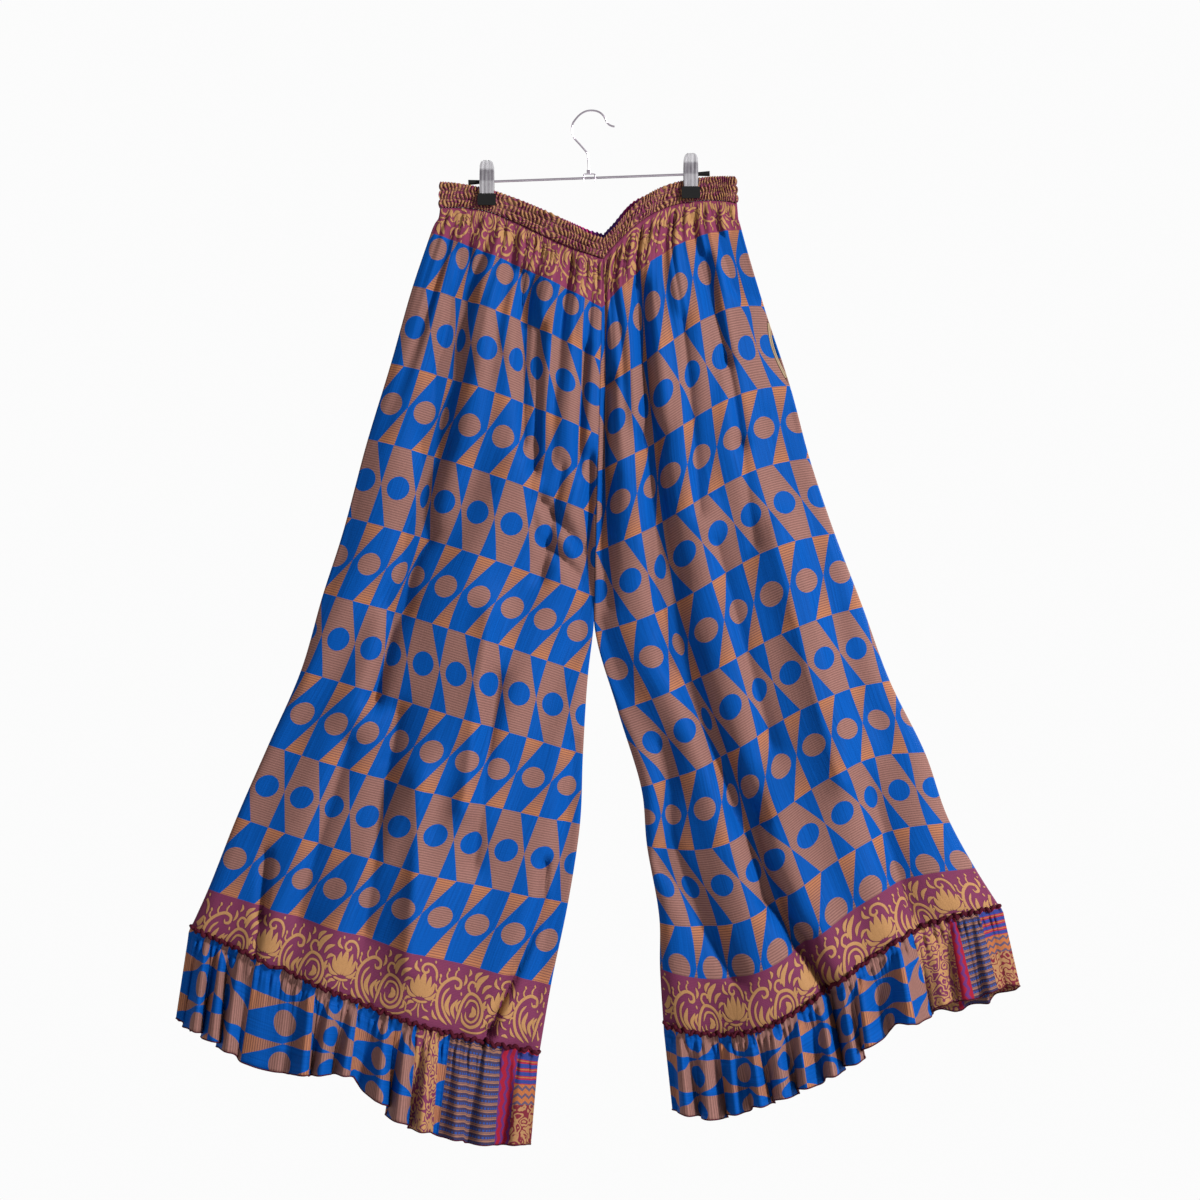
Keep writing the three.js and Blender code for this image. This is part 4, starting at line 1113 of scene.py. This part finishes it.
def build_band(face_name, face):
    """Shirred casing: three channels with puckers, with painted shade in the creases."""
    around, share = np.meshgrid(np.linspace(0, 2, BAND_COLUMNS + 1), np.linspace(0, 1, BAND_ROWS + 1))
    s = 1 - np.abs(around - 1)
    parts = []
    for leg in LEGS.values():
        top = base_point(leg, s, np.full_like(s, leg["v"][0]))
        bottom = base_point(leg, s, np.full_like(s, leg["v"][1]))
        parts.append([a + (b - a) * share for a, b in zip(top, bottom)])
    x, z, depth = (np.where(around <= 1, a, b) for a, b in zip(*parts))
    z = z + band_lift(face, around, s) * (1 - share)
    channel = np.abs(np.sin(BAND.channels * np.pi * share)) ** 0.6
    x = x + np.where(around <= 1, -1, 1) * BAND.side_bulge * channel * (1 - ease(s / 0.05))
    count = BAND.puckers * around + 1.1 * np.sin(7.3 * around + face) + 0.4 * np.sin(23 * around)
    count = count + 0.3 * np.sin(2 * np.pi * (1.5 * share + 5 * around))
    size = 0.75 + 0.35 * np.sin(31 * around + 4 * share) * np.sin(12 * around)
    ridge = (0.5 + 0.5 * np.cos(2 * np.pi * count)) ** 1.2
    frill = BAND.frill * (ridge - 0.5) * size
    inner_z = z + frill * (1 - share) ** 3
    outer_z = inner_z - 0.8 * frill * share**6
    outer_y = depth + BAND.wall + channel * (BAND.swell + BAND.ridge * ridge * size)
    inner_y = depth + BAND.inner_ridge * channel * ridge * size
    outer = np.stack([x, face * outer_y, outer_z], axis=-1)
    inner = np.stack([x, face * inner_y, inner_z], axis=-1)
    uv = np.stack([count, share], axis=-1)
    name = f"waistband_{face_name}"
    band = wall(name + "_cloth", outer, inner, uv, face, (waist_silk, waist_inside), inner_material=1)
    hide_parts(name)


def build_facing():
    """Folded strip along the open edge of the pocket, two thin ridges of cloth side by side."""
    leg = LEGS["right"]
    share, down = np.meshgrid(*(np.linspace(0, 1, count) for count in FACING_GRID))
    top = POCKET.top - FACING.below_top
    z = top + (POCKET.bottom + FACING.above_bottom - top) * down
    v = through(leg["side_z"][::-1], leg["v"][::-1], z)
    seam_x, seam_z, _ = base_point(leg, np.zeros_like(v), v)
    gape = pocket_gape(z)
    shown = np.minimum(FACING.shows, 0.72 * gape + 0.8)
    x = seam_x - gape + FACING.set_in + shown * share
    ridges = FACING.bulge * np.sin(2 * np.pi * share) ** 2
    y = -FACING.front - ridges - FACING.waver * np.sin(9 * down + 4 * share)
    middle = np.stack([x, y, seam_z], axis=-1)
    uv = np.stack([share, down], axis=-1)
    facing = cloth_wall("pocket_facing_cloth", middle, np.array((0, -1, 0)), CLOTH, uv, -1, (cream,))
    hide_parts("pocket_facing")


def build_bag():
    """Pocket bag, one sheet folded over at its inner side, slack between the two panels."""
    around, down = np.meshgrid(np.linspace(-1, 1, BAG_GRID[0]), np.linspace(0, 1, BAG_GRID[1]))
    to_fold = 1 - np.abs(around)
    inward = (BAG.inner - BAG.outer) * to_fold
    seam_x, _, _ = base_point(LEGS["right"], np.zeros_like(down), BAG.row + BAG.rows * down)
    x = seam_x - BAG.outer - inward
    z = BAG.top + (BAG.bottom - BAG.top) * down + BAG.drift * inward / BAG.inner
    half = BAG.mouth + (BAG.half - BAG.mouth) * ease(inward / BAG.narrows)
    wave = BAG.wave * np.sin((BAG.outer + inward) / BAG.wave_length + 3 * down)
    wave = wave * ease(to_fold / 0.1) * ease(np.abs(around) / 0.1)
    fold = 1 - np.clip(1 - np.abs(around) / 0.04, 0, 1) ** 2
    middle = np.stack([x, np.sign(around) * half * fold + wave, z], axis=-1)
    out = np.where(around < 0, -1, 1)[..., None]
    normals = np.abs(surface_normals(middle, 1)) * (0, 1, 0) * out
    uv = np.stack([around, down], axis=-1)
    bag = cloth_wall("pocket_bag_cloth", middle, normals, CLOTH, uv, 1, (cream,))
    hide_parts("pocket_bag")


for face_name, face in (("back", -1), ("front", 1)):
    build_band(face_name, face)
    for leg_name in LEGS:
        build_panel(leg_name, face_name, face)
        build_ruffle(leg_name, face_name, face)
build_facing()
build_bag()

# Hard parts keep their solids and get their own materials
HARD_PARTS = {
    "hanger": chrome, "spring": chrome, "jaw": clear, "foot": rubber, "end_cap": rubber,
}
for node_name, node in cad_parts.items():
    for start, material in HARD_PARTS.items():
        if node_name.startswith(start):
            node.data.materials.clear()
            node.data.materials.append(material)

# Camera at the photo's angle, floor and light
IMAGE_MIDDLE = (11.3, -586.2)
CAMERA_DISTANCE = 3400.0
CAMERA_LENS = 85
CAMERA_SENSOR = 36
# Lights: place and size in metres and power in watts
LIGHTS = {"key": ((4.6, -4.2, 2.0), 1.1, 700), "behind": ((2.4, 2.2, 0.9), 0.9, 110)}
LIGHTS_AIM = (0, 0, -0.6)
# The studio's wall is brighter behind the part than behind the camera
STUDIO_FADE = {"From Min": 0.3, "From Max": 0.8, "To Min": 0.5, "To Max": 0.97}
# Floor in metres
FLOOR_HEIGHT = -1.9
FLOOR_REACH = 2.6
FLOOR_SIDES = 96


def add_camera():
    data = bpy.data.cameras.new("camera")
    data.lens = CAMERA_LENS
    data.sensor_width = CAMERA_SENSOR
    camera = bpy.data.objects.new("camera", data)
    camera.location = (IMAGE_MIDDLE[0] * MM, -CAMERA_DISTANCE * MM, IMAGE_MIDDLE[1] * MM)
    camera.rotation_euler = (math.pi / 2, 0, 0)
    bpy.context.scene.collection.objects.link(camera)
    bpy.context.scene.camera = camera


def area_light(name, place, size, power):
    data = bpy.data.lights.new(name, "AREA")
    data.shape = "DISK"
    data.size = size
    data.energy = power
    light = bpy.data.objects.new(name, data)
    light.location = place
    x, y, z = np.array(LIGHTS_AIM) - np.array(place)
    light.rotation_euler = (math.atan2(math.hypot(x, y), -z), 0, math.atan2(y, x) - math.pi / 2)
    bpy.context.scene.collection.objects.link(light)


def add_studio():
    world = bpy.data.worlds.new("studio")
    world.use_nodes = True
    tree = world.node_tree
    around = tree.nodes.new("ShaderNodeTexCoord")
    axes = tree.nodes.new("ShaderNodeSeparateXYZ")
    fade = tree.nodes.new("ShaderNodeMapRange")
    for socket, value in STUDIO_FADE.items():
        fade.inputs[socket].default_value = value
    tree.links.new(around.outputs["Generated"], axes.inputs[0])
    tree.links.new(axes.outputs["Y"], fade.inputs["Value"])
    tree.links.new(fade.outputs["Result"], tree.nodes["Background"].inputs["Strength"])
    tree.nodes["Background"].inputs["Color"].default_value = (1, 1, 1, 1)
    bpy.context.scene.world = world
    bpy.context.scene.view_settings.view_transform = "Standard"


def add_floor():
    turn = np.linspace(0, 2 * np.pi, FLOOR_SIDES, endpoint=False)
    height = np.full(FLOOR_SIDES, FLOOR_HEIGHT)
    rim = np.stack([FLOOR_REACH * np.cos(turn), FLOOR_REACH * np.sin(turn), height], axis=-1)
    mesh = bpy.data.meshes.new("floor")
    mesh.from_pydata(rim.tolist(), [], [tuple(range(FLOOR_SIDES))])
    mesh.materials.append(hard_material("floor", FLOOR_GREY, 0.9))
    floor = bpy.data.objects.new("floor", mesh)
    bpy.context.scene.collection.objects.link(floor)


add_camera()
for light_name, (place, size, power) in LIGHTS.items():
    area_light(light_name, place, size, power)
add_studio()
add_floor()
